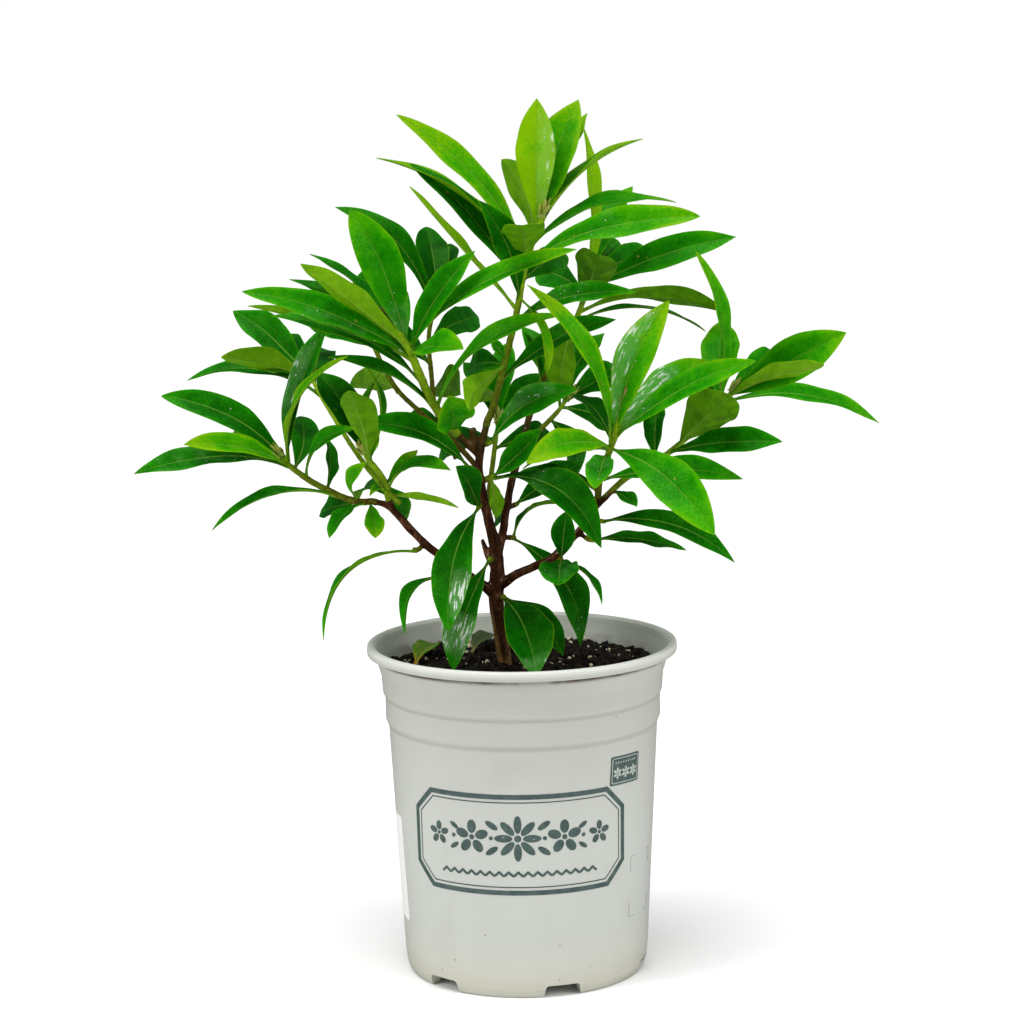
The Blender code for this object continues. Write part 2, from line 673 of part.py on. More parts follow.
def pot_profile():
    """The pot's outline: crest, outside, foot, underside, floor and up the inside."""
    outside = RIM_LINE + WALL_LINE[::-1] + FOOT_LINE
    underside = FLOOR_HEIGHT - WALL
    under = [(FOOT_INNER_RADIUS, 0.0), (FOOT_INNER_RADIUS - 1.0, underside), (0.0, underside)]
    inside = inside_line(0.0)
    floor = [(0.0, FLOOR_HEIGHT), (inside[0][0] - 3.0, FLOOR_HEIGHT)]
    return outside + under + floor + inside + RIM_INSIDE


def make_pot(parts, spare):
    pot = turned("pot", pot_profile(), spare)
    cuts = new_collection("pot cuts")
    for number in range(NOTCHES):
        angle = math.radians(FIRST_NOTCH_DEG + 360.0 / NOTCHES * number)
        notch_cutter(number, angle, cuts)
    for number in range(DRAIN_HOLES):
        angle = math.tau / DRAIN_HOLES * number
        drain_cutter(number, angle, cuts)
    cut = pot.modifiers.new("Cuts", "BOOLEAN")
    cut.operation = "DIFFERENCE"
    cut.operand_type = "COLLECTION"
    cut.collection = cuts
    cut.solver = "EXACT"
    mesh = baked(pot)
    drop(pot)
    for ob in list(cuts.objects):
        drop(ob)
    bpy.data.collections.remove(cuts)
    mesh.shade_smooth()
    mesh.set_sharp_from_angle(angle=math.radians(35))
    add_object("pot", mesh, parts, "pot")


def notch_cutter(number, angle, cutters):
    """A block across the foot ring, at an angle from the front towards +X."""
    bm = bmesh.new()
    bmesh.ops.create_cube(bm, size=1.0)
    reach = FOOT_RADIUS + 6.0
    depth = reach - FOOT_INNER_RADIUS + 4.0
    for vert in bm.verts:
        vert.co.x *= NOTCH_WIDTH * (NOTCH_TAPER if vert.co.z > 0 else 1.0)
        vert.co.y = -(reach - depth / 2) + vert.co.y * depth
        vert.co.z = NOTCH_HEIGHT if vert.co.z > 0 else -2.0
        vert.co = vert.co * MM
    mesh = bpy.data.meshes.new("notch")
    bm.to_mesh(mesh)
    bm.free()
    ob = add_object(f"notch {number}", mesh, cutters)
    ob.rotation_euler.z = angle
    mark_cutter(ob)


def drain_cutter(number, angle, cutters):
    bm = bmesh.new()
    bmesh.ops.create_cone(bm, cap_ends=True, segments=8, radius1=DRAIN_RADIUS * MM,
                          radius2=DRAIN_RADIUS * MM, depth=10 * MM)
    mesh = bpy.data.meshes.new("drain hole")
    bm.to_mesh(mesh)
    bm.free()
    ob = add_object(f"drain hole {number}", mesh, cutters)
    ob.location = (DRAIN_CIRCLE * math.cos(angle) * MM, DRAIN_CIRCLE * math.sin(angle) * MM,
                   (FLOOR_HEIGHT - WALL / 2) * MM)
    mark_cutter(ob)


def mark_cutter(ob):
    ob.hide_render = True
    ob.display_type = "WIRE"


def soil_height(x, y):
    """Height of the potting mix at a place: coarse lumps and a slight fall to the wall."""
    coarse = noise.noise(Vector((x * 0.045, y * 0.045, 3.1)))
    fine = noise.noise(Vector((x * 0.16, y * 0.16, 7.7)))
    edge = (math.hypot(x, y) / 70.0) ** 4
    return SOIL_TOP + SOIL_LUMP * (coarse + 0.6 * fine) - 1.0 * edge


def make_soil(parts, spare):
    line = [(radius, height) for radius, height in inside_line(SOIL_GAP) if height < SOIL_TOP - 1]
    wall = line[-1][0] + SOIL_GAP
    rings = [(wall * i / SOIL_RINGS, SOIL_TOP) for i in range(SOIL_RINGS + 1)]
    floor = FLOOR_HEIGHT + FIT_GAP
    under = [(line[0][0] - 3.0, floor), (0.0, floor)]
    soil = turned("potting mix", rings + line[::-1] + under, spare)
    mesh = baked(soil)
    drop(soil)
    for vert in mesh.vertices:
        if vert.co.z > (SOIL_TOP - 1) * MM:
            vert.co.z = soil_height(vert.co.x / MM, vert.co.y / MM) * MM
    soil = add_object("potting mix", mesh, spare)
    base = stem_points(WOOD["main"])
    holes = new_collection("trunk hole")
    trunk_hole([place for place, _ in base[:3]], holes)
    cut = soil.modifiers.new("Hole", "BOOLEAN")
    cut.operation = "DIFFERENCE"
    cut.operand_type = "COLLECTION"
    cut.collection = holes
    cut.solver = "EXACT"
    mesh = baked(soil)
    drop(soil)
    for ob in list(holes.objects):
        drop(ob)
    bpy.data.collections.remove(holes)
    mesh.shade_smooth()
    mesh.set_sharp_from_angle(angle=math.radians(50))
    add_object("potting_mix", mesh, parts, "mix")


def trunk_hole(line, cutters):
    """A plain round hole along the foot of the trunk, a little wider than it."""
    a, b, c = line
    below = a - (b - a).normalized() * 0.6
    rows = [below, b, c]
    curve = bpy.data.curves.new("hole", "CURVE")
    curve.dimensions = "3D"
    curve.bevel_depth = TRUNK_HOLE_RADIUS * MM
    curve.bevel_resolution = 4
    curve.use_fill_caps = True
    spline = curve.splines.new("POLY")
    spline.points.add(len(rows) - 1)
    for knot, place in zip(spline.points, rows):
        knot.co = (*(place * MM), 1)
    ob = add_object("hole", curve, cutters)
    mesh = baked(ob)
    drop(ob)
    mark_cutter(add_object("hole", mesh, cutters))


def settle(ob, ground):
    """Lower a piece until it lies on the ground, clear of it by the usual gap."""
    graph = bpy.context.evaluated_depsgraph_get()
    graph.update()
    piece = ob.evaluated_get(graph)
    tree, below = BVHTree.FromObject(piece, graph), BVHTree.FromObject(ground, graph)
    down, up = Vector((0, 0, -1)), Vector((0, 0, 1))
    gaps = [below.ray_cast(vert.co, down)[3] for vert in piece.data.vertices]
    gaps += [tree.ray_cast(vert.co, up)[3] for vert in ground.data.vertices
             if vert.co.z > (SOIL_TOP - 8) * MM]
    fall = min(gap for gap in gaps if gap is not None) - FIT_GAP * MM
    for vert in ob.data.vertices:
        vert.co.z -= fall


def make_dropped_leaves(parts):
    ground = parts.objects["potting_mix"]
    for name, (root_x, root_y, tip_x, tip_y, width, lift) in DROPPED.items():
        top = SOIL_TOP + 12.0
        root = Vector((root_x, root_y, top))
        tip = Vector((tip_x, tip_y, top + lift))
        along = (tip - root).normalized()
        across = along.cross(Vector((0, 0, 1))).normalized()
        out = across.cross(along)
        ob = leaf(name, root, tip, width, out, across, out * 1.0, parts)
        ob.data.materials.append(material("dropped"))
        settle(ob, ground)


def main():
    clear_scene()
    parts = new_collection("potted daphne")
    spare = new_collection("work")
    make_pot(parts, spare)
    make_soil(parts, spare)
    make_trunk(parts, spare)
    for name, plan in SHOOTS.items():
        make_shoot(name, plan, parts, spare)
    make_dropped_leaves(parts)


main()
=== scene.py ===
# Potted daphne: fine leaves, bark, potting mix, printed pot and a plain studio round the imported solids.
# The dictionaries hold millimetres and degrees, +Z up, and the front looks towards -Y.

import math
import random

import bmesh
import bpy
from mathutils import Euler, Matrix, Vector, noise


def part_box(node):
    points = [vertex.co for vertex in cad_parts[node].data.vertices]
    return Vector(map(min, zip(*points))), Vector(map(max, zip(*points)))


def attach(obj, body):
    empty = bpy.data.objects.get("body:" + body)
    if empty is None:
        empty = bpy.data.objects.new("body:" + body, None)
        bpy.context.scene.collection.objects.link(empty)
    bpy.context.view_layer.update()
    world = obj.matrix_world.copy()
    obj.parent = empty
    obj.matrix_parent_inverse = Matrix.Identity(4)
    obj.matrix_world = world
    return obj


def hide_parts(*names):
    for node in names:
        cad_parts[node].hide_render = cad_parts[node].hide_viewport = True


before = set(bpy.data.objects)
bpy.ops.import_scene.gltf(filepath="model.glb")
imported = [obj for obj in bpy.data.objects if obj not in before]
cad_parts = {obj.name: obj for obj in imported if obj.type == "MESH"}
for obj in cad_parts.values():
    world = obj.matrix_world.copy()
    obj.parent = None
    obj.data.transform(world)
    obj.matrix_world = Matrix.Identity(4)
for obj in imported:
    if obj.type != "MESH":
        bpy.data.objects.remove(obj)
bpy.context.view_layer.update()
mm = 0.001
middle = (0, 0, 0)

view = {"eye": Vector((-4.0, -1462.0, 475.0)), "pitch": 8.9, "roll": 1.0, "lens": 98.44, "sensor": 36}


# Places

def fromFront(x, z, y):
    # the point at depth y that is seen at x, z in the front view
    eye = view["eye"]
    spread = (y - eye.y) / -eye.y
    return Vector((eye.x + (x - eye.x) * spread, y, eye.z + (z - eye.z) * spread))


def toFront(point):
    eye = view["eye"]
    spread = (point.y - eye.y) / -eye.y
    return Vector((eye.x + (point.x - eye.x) / spread, eye.z + (point.z - eye.z) / spread))


def nearestSeen(stems, x, z):
    # the stem point seen closest to x, z from the front, and the stem's radius there
    seen = Vector((x, z))
    best, bestGap = None, 1e9
    for stem in stems:
        for (a, radiusA), (b, radiusB) in zip(stem, stem[1:]):
            start, step = toFront(a), toFront(b) - toFront(a)
            share = max(0.0, min(1.0, (seen - start).dot(step) / step.length_squared))
            gap = (start + step * share - seen).length
            if gap < bestGap:
                best, bestGap = (a.lerp(b, share), radiusA + (radiusB - radiusA) * share), gap
    return best


def ramp(value, low, high):
    share = max(0.0, min(1.0, (value - low) / (high - low)))
    return share * share * (3 - 2 * share)


def turned(degrees, axis="Z"):
    return Matrix.Rotation(math.radians(degrees), 3, axis)


# Objects

def placed(name, data):
    made = bpy.data.objects.new(name, data)
    bpy.context.scene.collection.objects.link(made)
    return made


def meshFrom(bm, name="step", materials=(), sharp=None):
    bmesh.ops.recalc_face_normals(bm, faces=bm.faces)
    mesh = bpy.data.meshes.new(name)
    bm.to_mesh(mesh)
    bm.free()
    for finish in materials:
        mesh.materials.append(finish)
    mesh.shade_smooth()
    if sharp:
        mesh.set_sharp_from_angle(angle=math.radians(sharp))
    return mesh


def meshAgain(mesh):
    bm = bmesh.new()
    bm.from_mesh(mesh)
    return bm


def addPiece(bm, name, materials, sharp=None, standsFor=None):
    piece = placed(name, meshFrom(bm, name, materials, sharp))
    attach(piece, "root")
    if standsFor:
        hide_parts(standsFor)


def shaped(mesh, kind, **values):
    # the mesh as one modifier leaves it
    worker = placed("worker", mesh)
    step = worker.modifiers.new("step", kind)
    for key, value in values.items():
        setattr(step, key, value)
    graph = bpy.context.evaluated_depsgraph_get()
    graph.update()
    result = bpy.data.meshes.new_from_object(worker.evaluated_get(graph))
    bpy.data.objects.remove(worker)
    return result


def roundOff(bm, geom, offset, segments, affect):
    bmesh.ops.bevel(bm, geom=geom, offset=offset, offset_type="OFFSET", segments=segments,
                    profile=0.5, affect=affect, material=-1)


# Shader helpers: the bench holds the node tree that is being built

bench = {"tree": None}


def feed(made, values):
    # each socket, by its name or number, linked or set
    for label, value in values.items():
        if isinstance(value, bpy.types.NodeSocket):
            bench["tree"].links.new(value, made.inputs[label])
        elif value is not None:
            made.inputs[label].default_value = value


def addNode(kind, values=None, **settings):
    made = bench["tree"].nodes.new("ShaderNode" + kind)
    for key, value in settings.items():
        setattr(made, key, value)
    feed(made, values or {})
    return made


def maths(operation, *values):
    return addNode("Math", dict(enumerate(values)), operation=operation).outputs[0]


def times(first, *others):
    for other in others:
        first = maths("MULTIPLY", first, other)
    return first


def plus(first, *others):
    for other in others:
        first = maths("ADD", first, other)
    return first


def scaled(value, factor, offset):
    return maths("MULTIPLY_ADD", value, factor, offset)


def remap(value, low, high, toLow=0.0, toHigh=1.0):
    values = dict(enumerate((value, low, high, toLow, toHigh)))
    return addNode("MapRange", values, interpolation_type="SMOOTHSTEP").outputs[0]


def tint(share, under, over, mode="MIX"):
    made = addNode("Mix", data_type="RGBA", blend_type=mode)
    under, over = [hue if isinstance(hue, bpy.types.NodeSocket) else (*hue, 1) for hue in (under, over)]
    feed(made, {0: share, 6: under, 7: over})
    return made.outputs[2]


def laid(colour, layer, mask):
    # a layer's hue over the colour, at its share of the mask
    hue, share = layer
    return tint(times(mask, share), colour, hue)


def cloud(place, scale, detail=3.0, stretch=None):
    if stretch:
        place = addNode("Mapping", {"Vector": place, "Scale": stretch}).outputs[0]
    return addNode("TexNoise", {"Vector": place, "Scale": scale, "Detail": detail}).outputs["Fac"]


def cells(place, scale, feature="F1"):
    return addNode("TexVoronoi", {"Vector": place, "Scale": scale}, feature=feature).outputs


def attribute(name):
    return addNode("Attribute", attribute_name=name).outputs["Vector"]


def split(vector):
    return addNode("SeparateXYZ", {0: vector}).outputs


def objectPlace():
    return addNode("TexCoord").outputs["Object"]


def relief(height, distance, strength=1.0):
    return addNode("Bump", {"Height": height, "Distance": distance * mm, "Strength": strength}).outputs[0]


def colourScale(value, stops):
    made = addNode("ValToRGB", {0: value})
    bar = made.color_ramp.elements
    while len(bar) < len(stops):
        bar.new(0.5)
    for element, (place, colour) in zip(bar, stops):
        element.position = place
        element.color = (*colour, 1)
    return made.outputs[0]


def newMaterial(name):
    made = bpy.data.materials.new(name)
    made.use_nodes = True
    bench["tree"] = made.node_tree
    return made


def dress(finish, colour, roughness, normal=None, shine=None, shineTint=(1, 1, 1), **others):
    # what the material's own shader gets
    shader = finish.node_tree.nodes["Principled BSDF"]
    feed(shader, {"Base Color": colour, "Roughness": roughness, "Normal": normal,
                  "Specular IOR Level": shine, "Specular Tint": (*shineTint, 1), **others})
    return finish


def newGroup(name, takes, gives):
    # a node group with its named sockets, what comes in and the node that takes what goes out
    tree = bench["tree"] = bpy.data.node_groups.new(name, "ShaderNodeTree")
    for label in takes:
        kind = "Vector" if label in ("Place", "Blade") else "Float"
        tree.interface.new_socket(label, in_out="INPUT", socket_type="NodeSocket" + kind)
    for label in gives:
        tree.interface.new_socket(label, in_out="OUTPUT", socket_type="NodeSocketFloat")
    return tree, tree.nodes.new("NodeGroupInput").outputs, tree.nodes.new("NodeGroupOutput")


def useGroup(group, **values):
    return addNode("Group", values, node_tree=group).outputs


# Shared effects

def makeBlotches():
    tree, takes, end = newGroup("blotches", ("Place", "Scale", "Edge"), ("Mask",))
    spread = cloud(takes["Place"], takes["Scale"], detail=4.0)
    low, high = maths("SUBTRACT", 0.5, takes["Edge"]), plus(0.5, takes["Edge"])
    feed(end, {"Mask": remap(spread, low, high)})
    return tree


def makeSpecks():
    # scattered dots: one in some of the cells, each of its own size
    tree, takes, end = newGroup("specks", ("Place", "Scale", "Size", "Share"), ("Mask",))
    grid = cells(takes["Place"], takes["Scale"])
    pick = split(grid["Color"])
    dot = maths("LESS_THAN", grid["Distance"], times(takes["Size"], pick[1]))
    feed(end, {"Mask": times(dot, maths("LESS_THAN", pick[0], takes["Share"]))})
    return tree


def makeBladeMarks():
    # Blade holds millimetres across and along a leaf, and the share of its length
    tree, takes, end = newGroup("bladeMarks", ("Blade",), ("Midrib", "Veins", "Relief"))
    veinGap, veinSlant, netScale = 4.6, 1.25, 0.55
    across, along, share = split(takes["Blade"])
    side = maths("ABSOLUTE", across)
    width = remap(share, 0.0, 1.0, 0.60, 0.12)
    midrib = remap(side, width, times(width, 0.3))
    wander = cloud(takes["Blade"], 0.16, detail=1.0)
    slant = maths("SUBTRACT", along, times(side, veinSlant))
    row = plus(maths("DIVIDE", slant, veinGap), wander)
    veins = times(remap(maths("PINGPONG", row, 0.5), 0.06, 0.0), remap(side, 7.5, 1.0))
    net = cells(takes["Blade"], netScale, feature="DISTANCE_TO_EDGE")["Distance"]
    height = maths("SUBTRACT", times(remap(net, 0.0, 0.12), 0.35), times(veins, 0.7))
    feed(end, {"Midrib": midrib, "Veins": veins, "Relief": maths("SUBTRACT", height, midrib)})
    return tree


def makeWaterAndPaintedGlare():
    # a broken water film that lowers the roughness and pales the colour as a painted sheen, painted
    # streaky glints, and beads of water with bumps and painted white highlights, where the leaf is wet
    tree, takes, end = newGroup("waterAndPaintedGlare", ("Place", "Blade", "Wet"), ("FilmAndPaintedSheen", "PaintedGlints", "BeadsAndPaintedShine"))
    wetAndGlare = takes["Wet"]
    broken = plus(wetAndGlare, scaled(cloud(takes["Place"], 150.0, detail=4.0), 1.2, -0.6))
    filmAndPaintedSheen = times(remap(broken, 0.05, 0.85), remap(wetAndGlare, 0.02, 0.25))
    streaks = cloud(takes["Blade"], 0.70, detail=3.0, stretch=(1.0, 0.14, 0.0))
    patches = cloud(takes["Blade"], 0.16, detail=2.0, stretch=(1.0, 0.5, 0.0))
    here = remap(plus(wetAndGlare, scaled(patches, 2.2, -1.1)), 0.50, 0.80)
    grid = cells(takes["Place"], 560.0)
    pick = split(grid["Color"])
    size = scaled(pick[1], 0.20, 0.10)
    drop = remap(grid["Distance"], size, times(size, 0.6))
    beadsAndPaintedShine = times(drop, maths("LESS_THAN", pick[0], times(wetAndGlare, 0.6)))
    feed(end, {"FilmAndPaintedSheen": filmAndPaintedSheen, "PaintedGlints": times(remap(streaks, 0.51, 0.58), here), "BeadsAndPaintedShine": beadsAndPaintedShine})
    return tree


blotches, specks = makeBlotches(), makeSpecks()
bladeMarks, waterAndPaintedGlare = makeBladeMarks(), makeWaterAndPaintedGlare()


def blotch(place, scale, edge):
    return useGroup(blotches, Place=place, Scale=scale, Edge=edge)["Mask"]


def dotted(colour, dots, place):
    # dots of a hue and its share, by scale, size and the share of the cells that hold one
    hue, strength, scale, size, share = dots
    mask = useGroup(specks, Place=place, Scale=scale, Size=size, Share=share)["Mask"]
    return laid(colour, (hue, strength), mask)


# Leaf finishes: colour stops, layers of a hue and its share, dots, and bumps of a depth and strength

leafFinish = {
    "upper": [(0.0, (0.001, 0.056, 0.001)), (0.30, (0.003, 0.140, 0.001)), (0.55, (0.014, 0.280, 0.001)),
              (0.78, (0.070, 0.420, 0.001)), (1.0, (0.240, 0.500, 0.002))],
    "under": [(0.0, (0.026, 0.130, 0.001)), (0.45, (0.135, 0.370, 0.004)), (1.0, (0.310, 0.600, 0.010))],
    "through": ((1.0, 1.0, 0.25), 0.35),
    "veins": ((0.340, 0.640, 0.080), 0.14),
    "midrib": ((0.340, 0.640, 0.080), 0.50),
    "veinsUnder": ((0.330, 0.520, 0.070), 0.36),
    "midribUnder": ((0.330, 0.520, 0.070), 0.8),
    "margin": ((0.280, 0.500, 0.010), 0.55),
    "spots": ((0.400, 0.340, 0.060), 0.6, 230.0, 0.20, 0.05),
    # painted sheen of the water film and painted white highlights on glints and beads
    "filmAndPaintedSheen": ((0.270, 0.580, 0.190), 0.34),
    "paintedBeadShine": ((0.900, 0.940, 0.900), 0.80),
    "patch": {"scale": 95.0, "edge": 0.3},
    "mottle": {"scale": 420.0, "edge": 0.25},
    "patchUnder": {"scale": 170.0, "edge": 0.22},
    "relief": (0.28, 0.8),
    "reliefUnder": (0.25, 0.9),
    "shine": (0.22, (0.30, 1.0, 0.04)),
    "shineUnder": (0.10, (0.60, 1.0, 0.30)),
    "young": [(0.22, 0.36, 0.03), (0.34, 0.42, 0.05)],
    "rosy": [(0.26, 0.22, 0.04), (0.30, 0.13, 0.07)],
    "budGrain": ((0.12, 0.07, 0.03), 0.3),
}


def throughLight(finish, colour):
    # light that shines through the blade, mixed with the light that the blade throws back
    nodes = finish.node_tree.nodes
    hue, share = leafFinish["through"]
    glow = addNode("BsdfTranslucent", {"Color": tint(1.0, colour, hue, "MULTIPLY")})
    both = addNode("MixShader", {0: share, 1: nodes["Principled BSDF"].outputs[0], 2: glow.outputs[0]})
    feed(nodes["Material Output"], {"Surface": both.outputs[0]})
    return finish


def leafUpper():
    finish = newMaterial("leafUpper")
    place, blade = objectPlace(), attribute("blade")
    # tone is set leaf by leaf: partly the leaf's own colour and partly painted light and shade
    tone, wetAndGlare, side = split(attribute("mood"))
    marks = useGroup(bladeMarks, Blade=blade)
    patch, mottle = blotch(place, **leafFinish["patch"]), blotch(place, **leafFinish["mottle"])
    grain = cloud(place, 1500.0, detail=2.0)
    level = plus(tone, scaled(patch, 0.22, -0.12), scaled(mottle, 0.11, -0.055),
                 times(marks["Relief"], 0.10), scaled(grain, 0.30, -0.15))
    # a leaf is paler to its tip and its margin
    edges = plus(remap(split(blade)[2], 0.62, 1.0, 0.0, 0.34), remap(side, 0.55, 1.0, 0.0, 0.22))
    level = plus(level, times(edges, scaled(tone, 0.9, 0.25)))
    colour = colourScale(level, leafFinish["upper"])
    colour = laid(colour, leafFinish["veins"], marks["Veins"])
    colour = laid(colour, leafFinish["margin"], remap(side, 0.95, 1.0))
    colour = laid(colour, leafFinish["midrib"], marks["Midrib"])
    colour = dotted(colour, leafFinish["spots"], place)
    waterAndGlare = useGroup(waterAndPaintedGlare, Place=place, Blade=blade, Wet=wetAndGlare)
    # painted sheen of the water film, then painted white glints and painted highlights on the beads
    colour = laid(colour, leafFinish["filmAndPaintedSheen"], waterAndGlare["FilmAndPaintedSheen"])
    colour = laid(colour, leafFinish["paintedBeadShine"], maths("MAXIMUM", waterAndGlare["PaintedGlints"], waterAndGlare["BeadsAndPaintedShine"]))
    gloss = maths("SUBTRACT", scaled(patch, 0.12, 0.22), times(waterAndGlare["FilmAndPaintedSheen"], 0.14))
    normal = relief(plus(marks["Relief"], times(waterAndGlare["BeadsAndPaintedShine"], 1.5)), *leafFinish["relief"])
    return throughLight(dress(finish, colour, gloss, normal, *leafFinish["shine"]), colour)


def leafUnder():
    finish = newMaterial("leafUnder")
    marks = useGroup(bladeMarks, Blade=attribute("blade"))
    patch = blotch(objectPlace(), **leafFinish["patchUnder"])
    # tone is set leaf by leaf: partly the leaf's own colour and partly painted light and shade
    tone = split(attribute("mood"))[0]
    level = plus(tone, scaled(patch, 0.28, -0.14), times(marks["Relief"], 0.16))
    colour = colourScale(level, leafFinish["under"])
    colour = laid(colour, leafFinish["veinsUnder"], marks["Veins"])
    colour = laid(colour, leafFinish["midribUnder"], marks["Midrib"])
    normal = relief(times(marks["Relief"], -1.0), *leafFinish["reliefUnder"])
    dress(finish, colour, scaled(patch, 0.1, 0.45), normal, *leafFinish["shineUnder"])
    return throughLight(finish, colour)


def budScale():
    finish = newMaterial("budScale")
    blush = remap(split(attribute("blade"))[2], 0.15, 0.95)
    young, rosy = tint(blush, *leafFinish["young"]), tint(blush, *leafFinish["rosy"])
    colour = tint(split(attribute("mood"))[0], young, rosy)
    grain = cloud(objectPlace(), 900.0)
    colour = laid(colour, leafFinish["budGrain"], grain)
    return dress(finish, colour, scaled(grain, 0.2, 0.4), relief(grain, 0.08), 0.3)


leafFinishes = [leafUpper(), leafUnder(), budScale()]
print("leaf finishes made")


# Leaves

blade = {
    "columns": 10,
    "rows": 34,
    "crowd": 1.3,             # how much closer the columns are to the midrib
    "thickness": 0.42,
    "edgeThin": 0.55,
    "stalk": 2.0,             # width where the leaf leaves its stem
    "stalkDepth": 1.2,
    "rootSink": 0.5,          # share of the stem's radius at which a leaf starts
    "least": 0.16,            # half the width of the tip
    "fold": (16.0, 27.0),     # degrees that each half rises
    "late": (1.22, 1.40),     # how far past the middle a leaf is widest
    "blunt": (0.74, 0.92),
    "rounded": (0.26, -0.16),   # added to late and blunt for a rounded tip
    "recurve": 0.05,          # bulge to the upper side, per length
    "groove": 0.22,           # depth of the midrib's channel above
    "keel": 0.42,             # height of the midrib's ridge below
    "wave": 0.052,            # ripple of the margin, per width
    "waves": (1.6, 3.2),
    "crumple": 0.032,
    "ragged": 0.035,          # unevenness of the outline, per half width
    "uneven": 0.06,           # how much wider one half is
    "twist": 9.0,             # degrees that a blade turns along its length
    "sway": 0.010,            # bend of the midrib to either side, per length
    "wetAndGlareEdge": 0.12,
}


def flatBlade(columns, rows):
    # a closed flat sheet from -1 to 1 each way, its upper face at 0 and its lower one below
    bm = bmesh.new()
    bmesh.ops.create_grid(bm, x_segments=columns, y_segments=rows, size=1.0)
    bmesh.ops.solidify(bm, geom=bm.faces, thickness=0.2)
    bmesh.ops.recalc_face_normals(bm, faces=bm.faces)
    for face in bm.faces:
        face.material_index = 1 if face.normal.z < -0.5 else 0
    mesh = bpy.data.meshes.new("flatBlade")
    bm.to_mesh(mesh)
    bm.free()
    return mesh


leafSheet = flatBlade(blade["columns"], blade["rows"])
budSheet = flatBlade(4, 9)


def bladeAxes(root, tip, face):
    # directions across and out of the upper side, and the one a leaf arches to
    along = (tip - root).normalized()
    toEye = (view["eye"] - (root + tip) / 2).normalized()
    facing = (toEye - along * toEye.dot(along)).normalized()
    upper = along.cross(facing)
    if tip.x >= root.x:
        upper = -upper
    out = facing * math.cos(math.radians(face)) + upper * math.sin(math.radians(face))
    return out.cross(along), out, upper


def layersOf(bm):
    layers = bm.verts.layers.float_vector
    return layers.get("blade"), layers.get("mood")


def leafMesh():
    bm = bmesh.new()
    for name in ("blade", "mood"):
        bm.verts.layers.float_vector.new(name)
    return bm


def addBlade(bm, sheet, root, tip, width, out, across, bend, tone, seed, finish=None, wetAndGlare=None,
             rounded=False):
    # one closed leaf on its arc from root to tip
    first, firstFace = len(bm.verts), len(bm.faces)
    bm.from_mesh(sheet)
    bm.verts.ensure_lookup_table()
    bm.faces.ensure_lookup_table()
    bladeLayer, moodLayer = layersOf(bm)
    draw = random.Random(seed)
    waves, phase = draw.uniform(*blade["waves"]), draw.uniform(0, 1)
    phaseLeft = phase + draw.uniform(0.3, 0.6)
    spin = blade["twist"] * draw.uniform(-1, 1)
    fold = draw.uniform(*blade["fold"])
    late, blunt = draw.uniform(*blade["late"]), draw.uniform(*blade["blunt"])
    if rounded:
        late, blunt = late + blade["rounded"][0], blunt + blade["rounded"][1]
    uneven = draw.uniform(-blade["uneven"], blade["uneven"])
    sway = draw.uniform(-1, 1) * blade["sway"]
    length = (tip - root).length
    centre = (root + tip) / 2
    control = (centre + bend + out * (blade["recurve"] * length)) * 2 - centre
    along = (tip - root).normalized()
    if finish is not None:
        for face in bm.faces[firstFace:]:
            face.material_index = finish
    for vert in bm.verts[first:]:
        flat = vert.co.copy()
        upper, left = flat.z > -0.1, flat.x <= 0
        step = (flat.y + 1) / 2
        share = step - 0.7 * math.sin(math.tau * step) / math.tau
        bow = math.sin(math.pi * share)
        side = math.copysign(abs(flat.x) ** blade["crowd"], flat.x)
        edge = abs(side)
        # widest past the middle, pointed at the tip
        half = max(width / 2 * max(0.0, math.sin(math.pi * share ** late)) ** blunt,
                   blade["stalk"] / 2 * (1 - share), blade["least"])
        half *= 1 + uneven * (-1 if left else 1) * bow
        notch = noise.noise(Vector((share * 9, 0 if left else 4, seed * 2.3)))
        half *= 1 + blade["ragged"] * notch * bow
        onLine = root * (1 - share) ** 2 + control * (2 * share * (1 - share)) + tip * share ** 2
        onLine = onLine + across * (sway * length * math.sin(math.tau * share) * bow)
        twist = Matrix.Rotation(math.radians(spin) * (share - 0.5), 3, along)
        rise = math.tan(math.radians(fold * (1.15 - 0.3 * share)))
        height = half * rise * (edge ** 1.15 - 0.2 * edge ** 4)
        beat = math.sin(math.tau * (waves * share + (phaseLeft if left else phase)))
        height += blade["wave"] * width * beat * edge ** 2 * bow ** 0.6
        crumple = noise.noise(Vector((share * 7, side * 1.6, seed * 3.7)))
        height += blade["crumple"] * width * crumple * edge * bow
        rib = edge < 0.01
        waterAndGlare = 0.0
        if upper:
            height -= blade["groove"] * (1 - share) ** 0.4 if rib else 0.0
        else:
            stalk = max(0.0, 1 - share / 0.12) ** 1.4
            height -= blade["keel"] * (1 - share) ** 0.7 if rib else 0.0
            height -= blade["thickness"] * (1 - blade["edgeThin"] * edge ** 3)
            height -= blade["stalkDepth"] * stalk * (1 - edge ** 2)
        # where water stands on the upper side, which also sets its painted sheen and highlights
        if wetAndGlare and upper:
            wetAndGlareSide, low, high, strength = wetAndGlare
            reach = blade["wetAndGlareEdge"]
            waterAndGlare = strength * ramp(share, low - reach, low + reach)
            waterAndGlare *= ramp(-share, -high - reach, -high + reach)
            waterAndGlare *= ramp(side * wetAndGlareSide, -0.08, 0.22) if wetAndGlareSide else 1.0
        vert.co = (onLine + twist @ across * (half * side) + twist @ out * height) * mm
        vert[bladeLayer] = Vector((half * side, share * length, share))
        vert[moodLayer] = Vector((tone, waterAndGlare, edge))
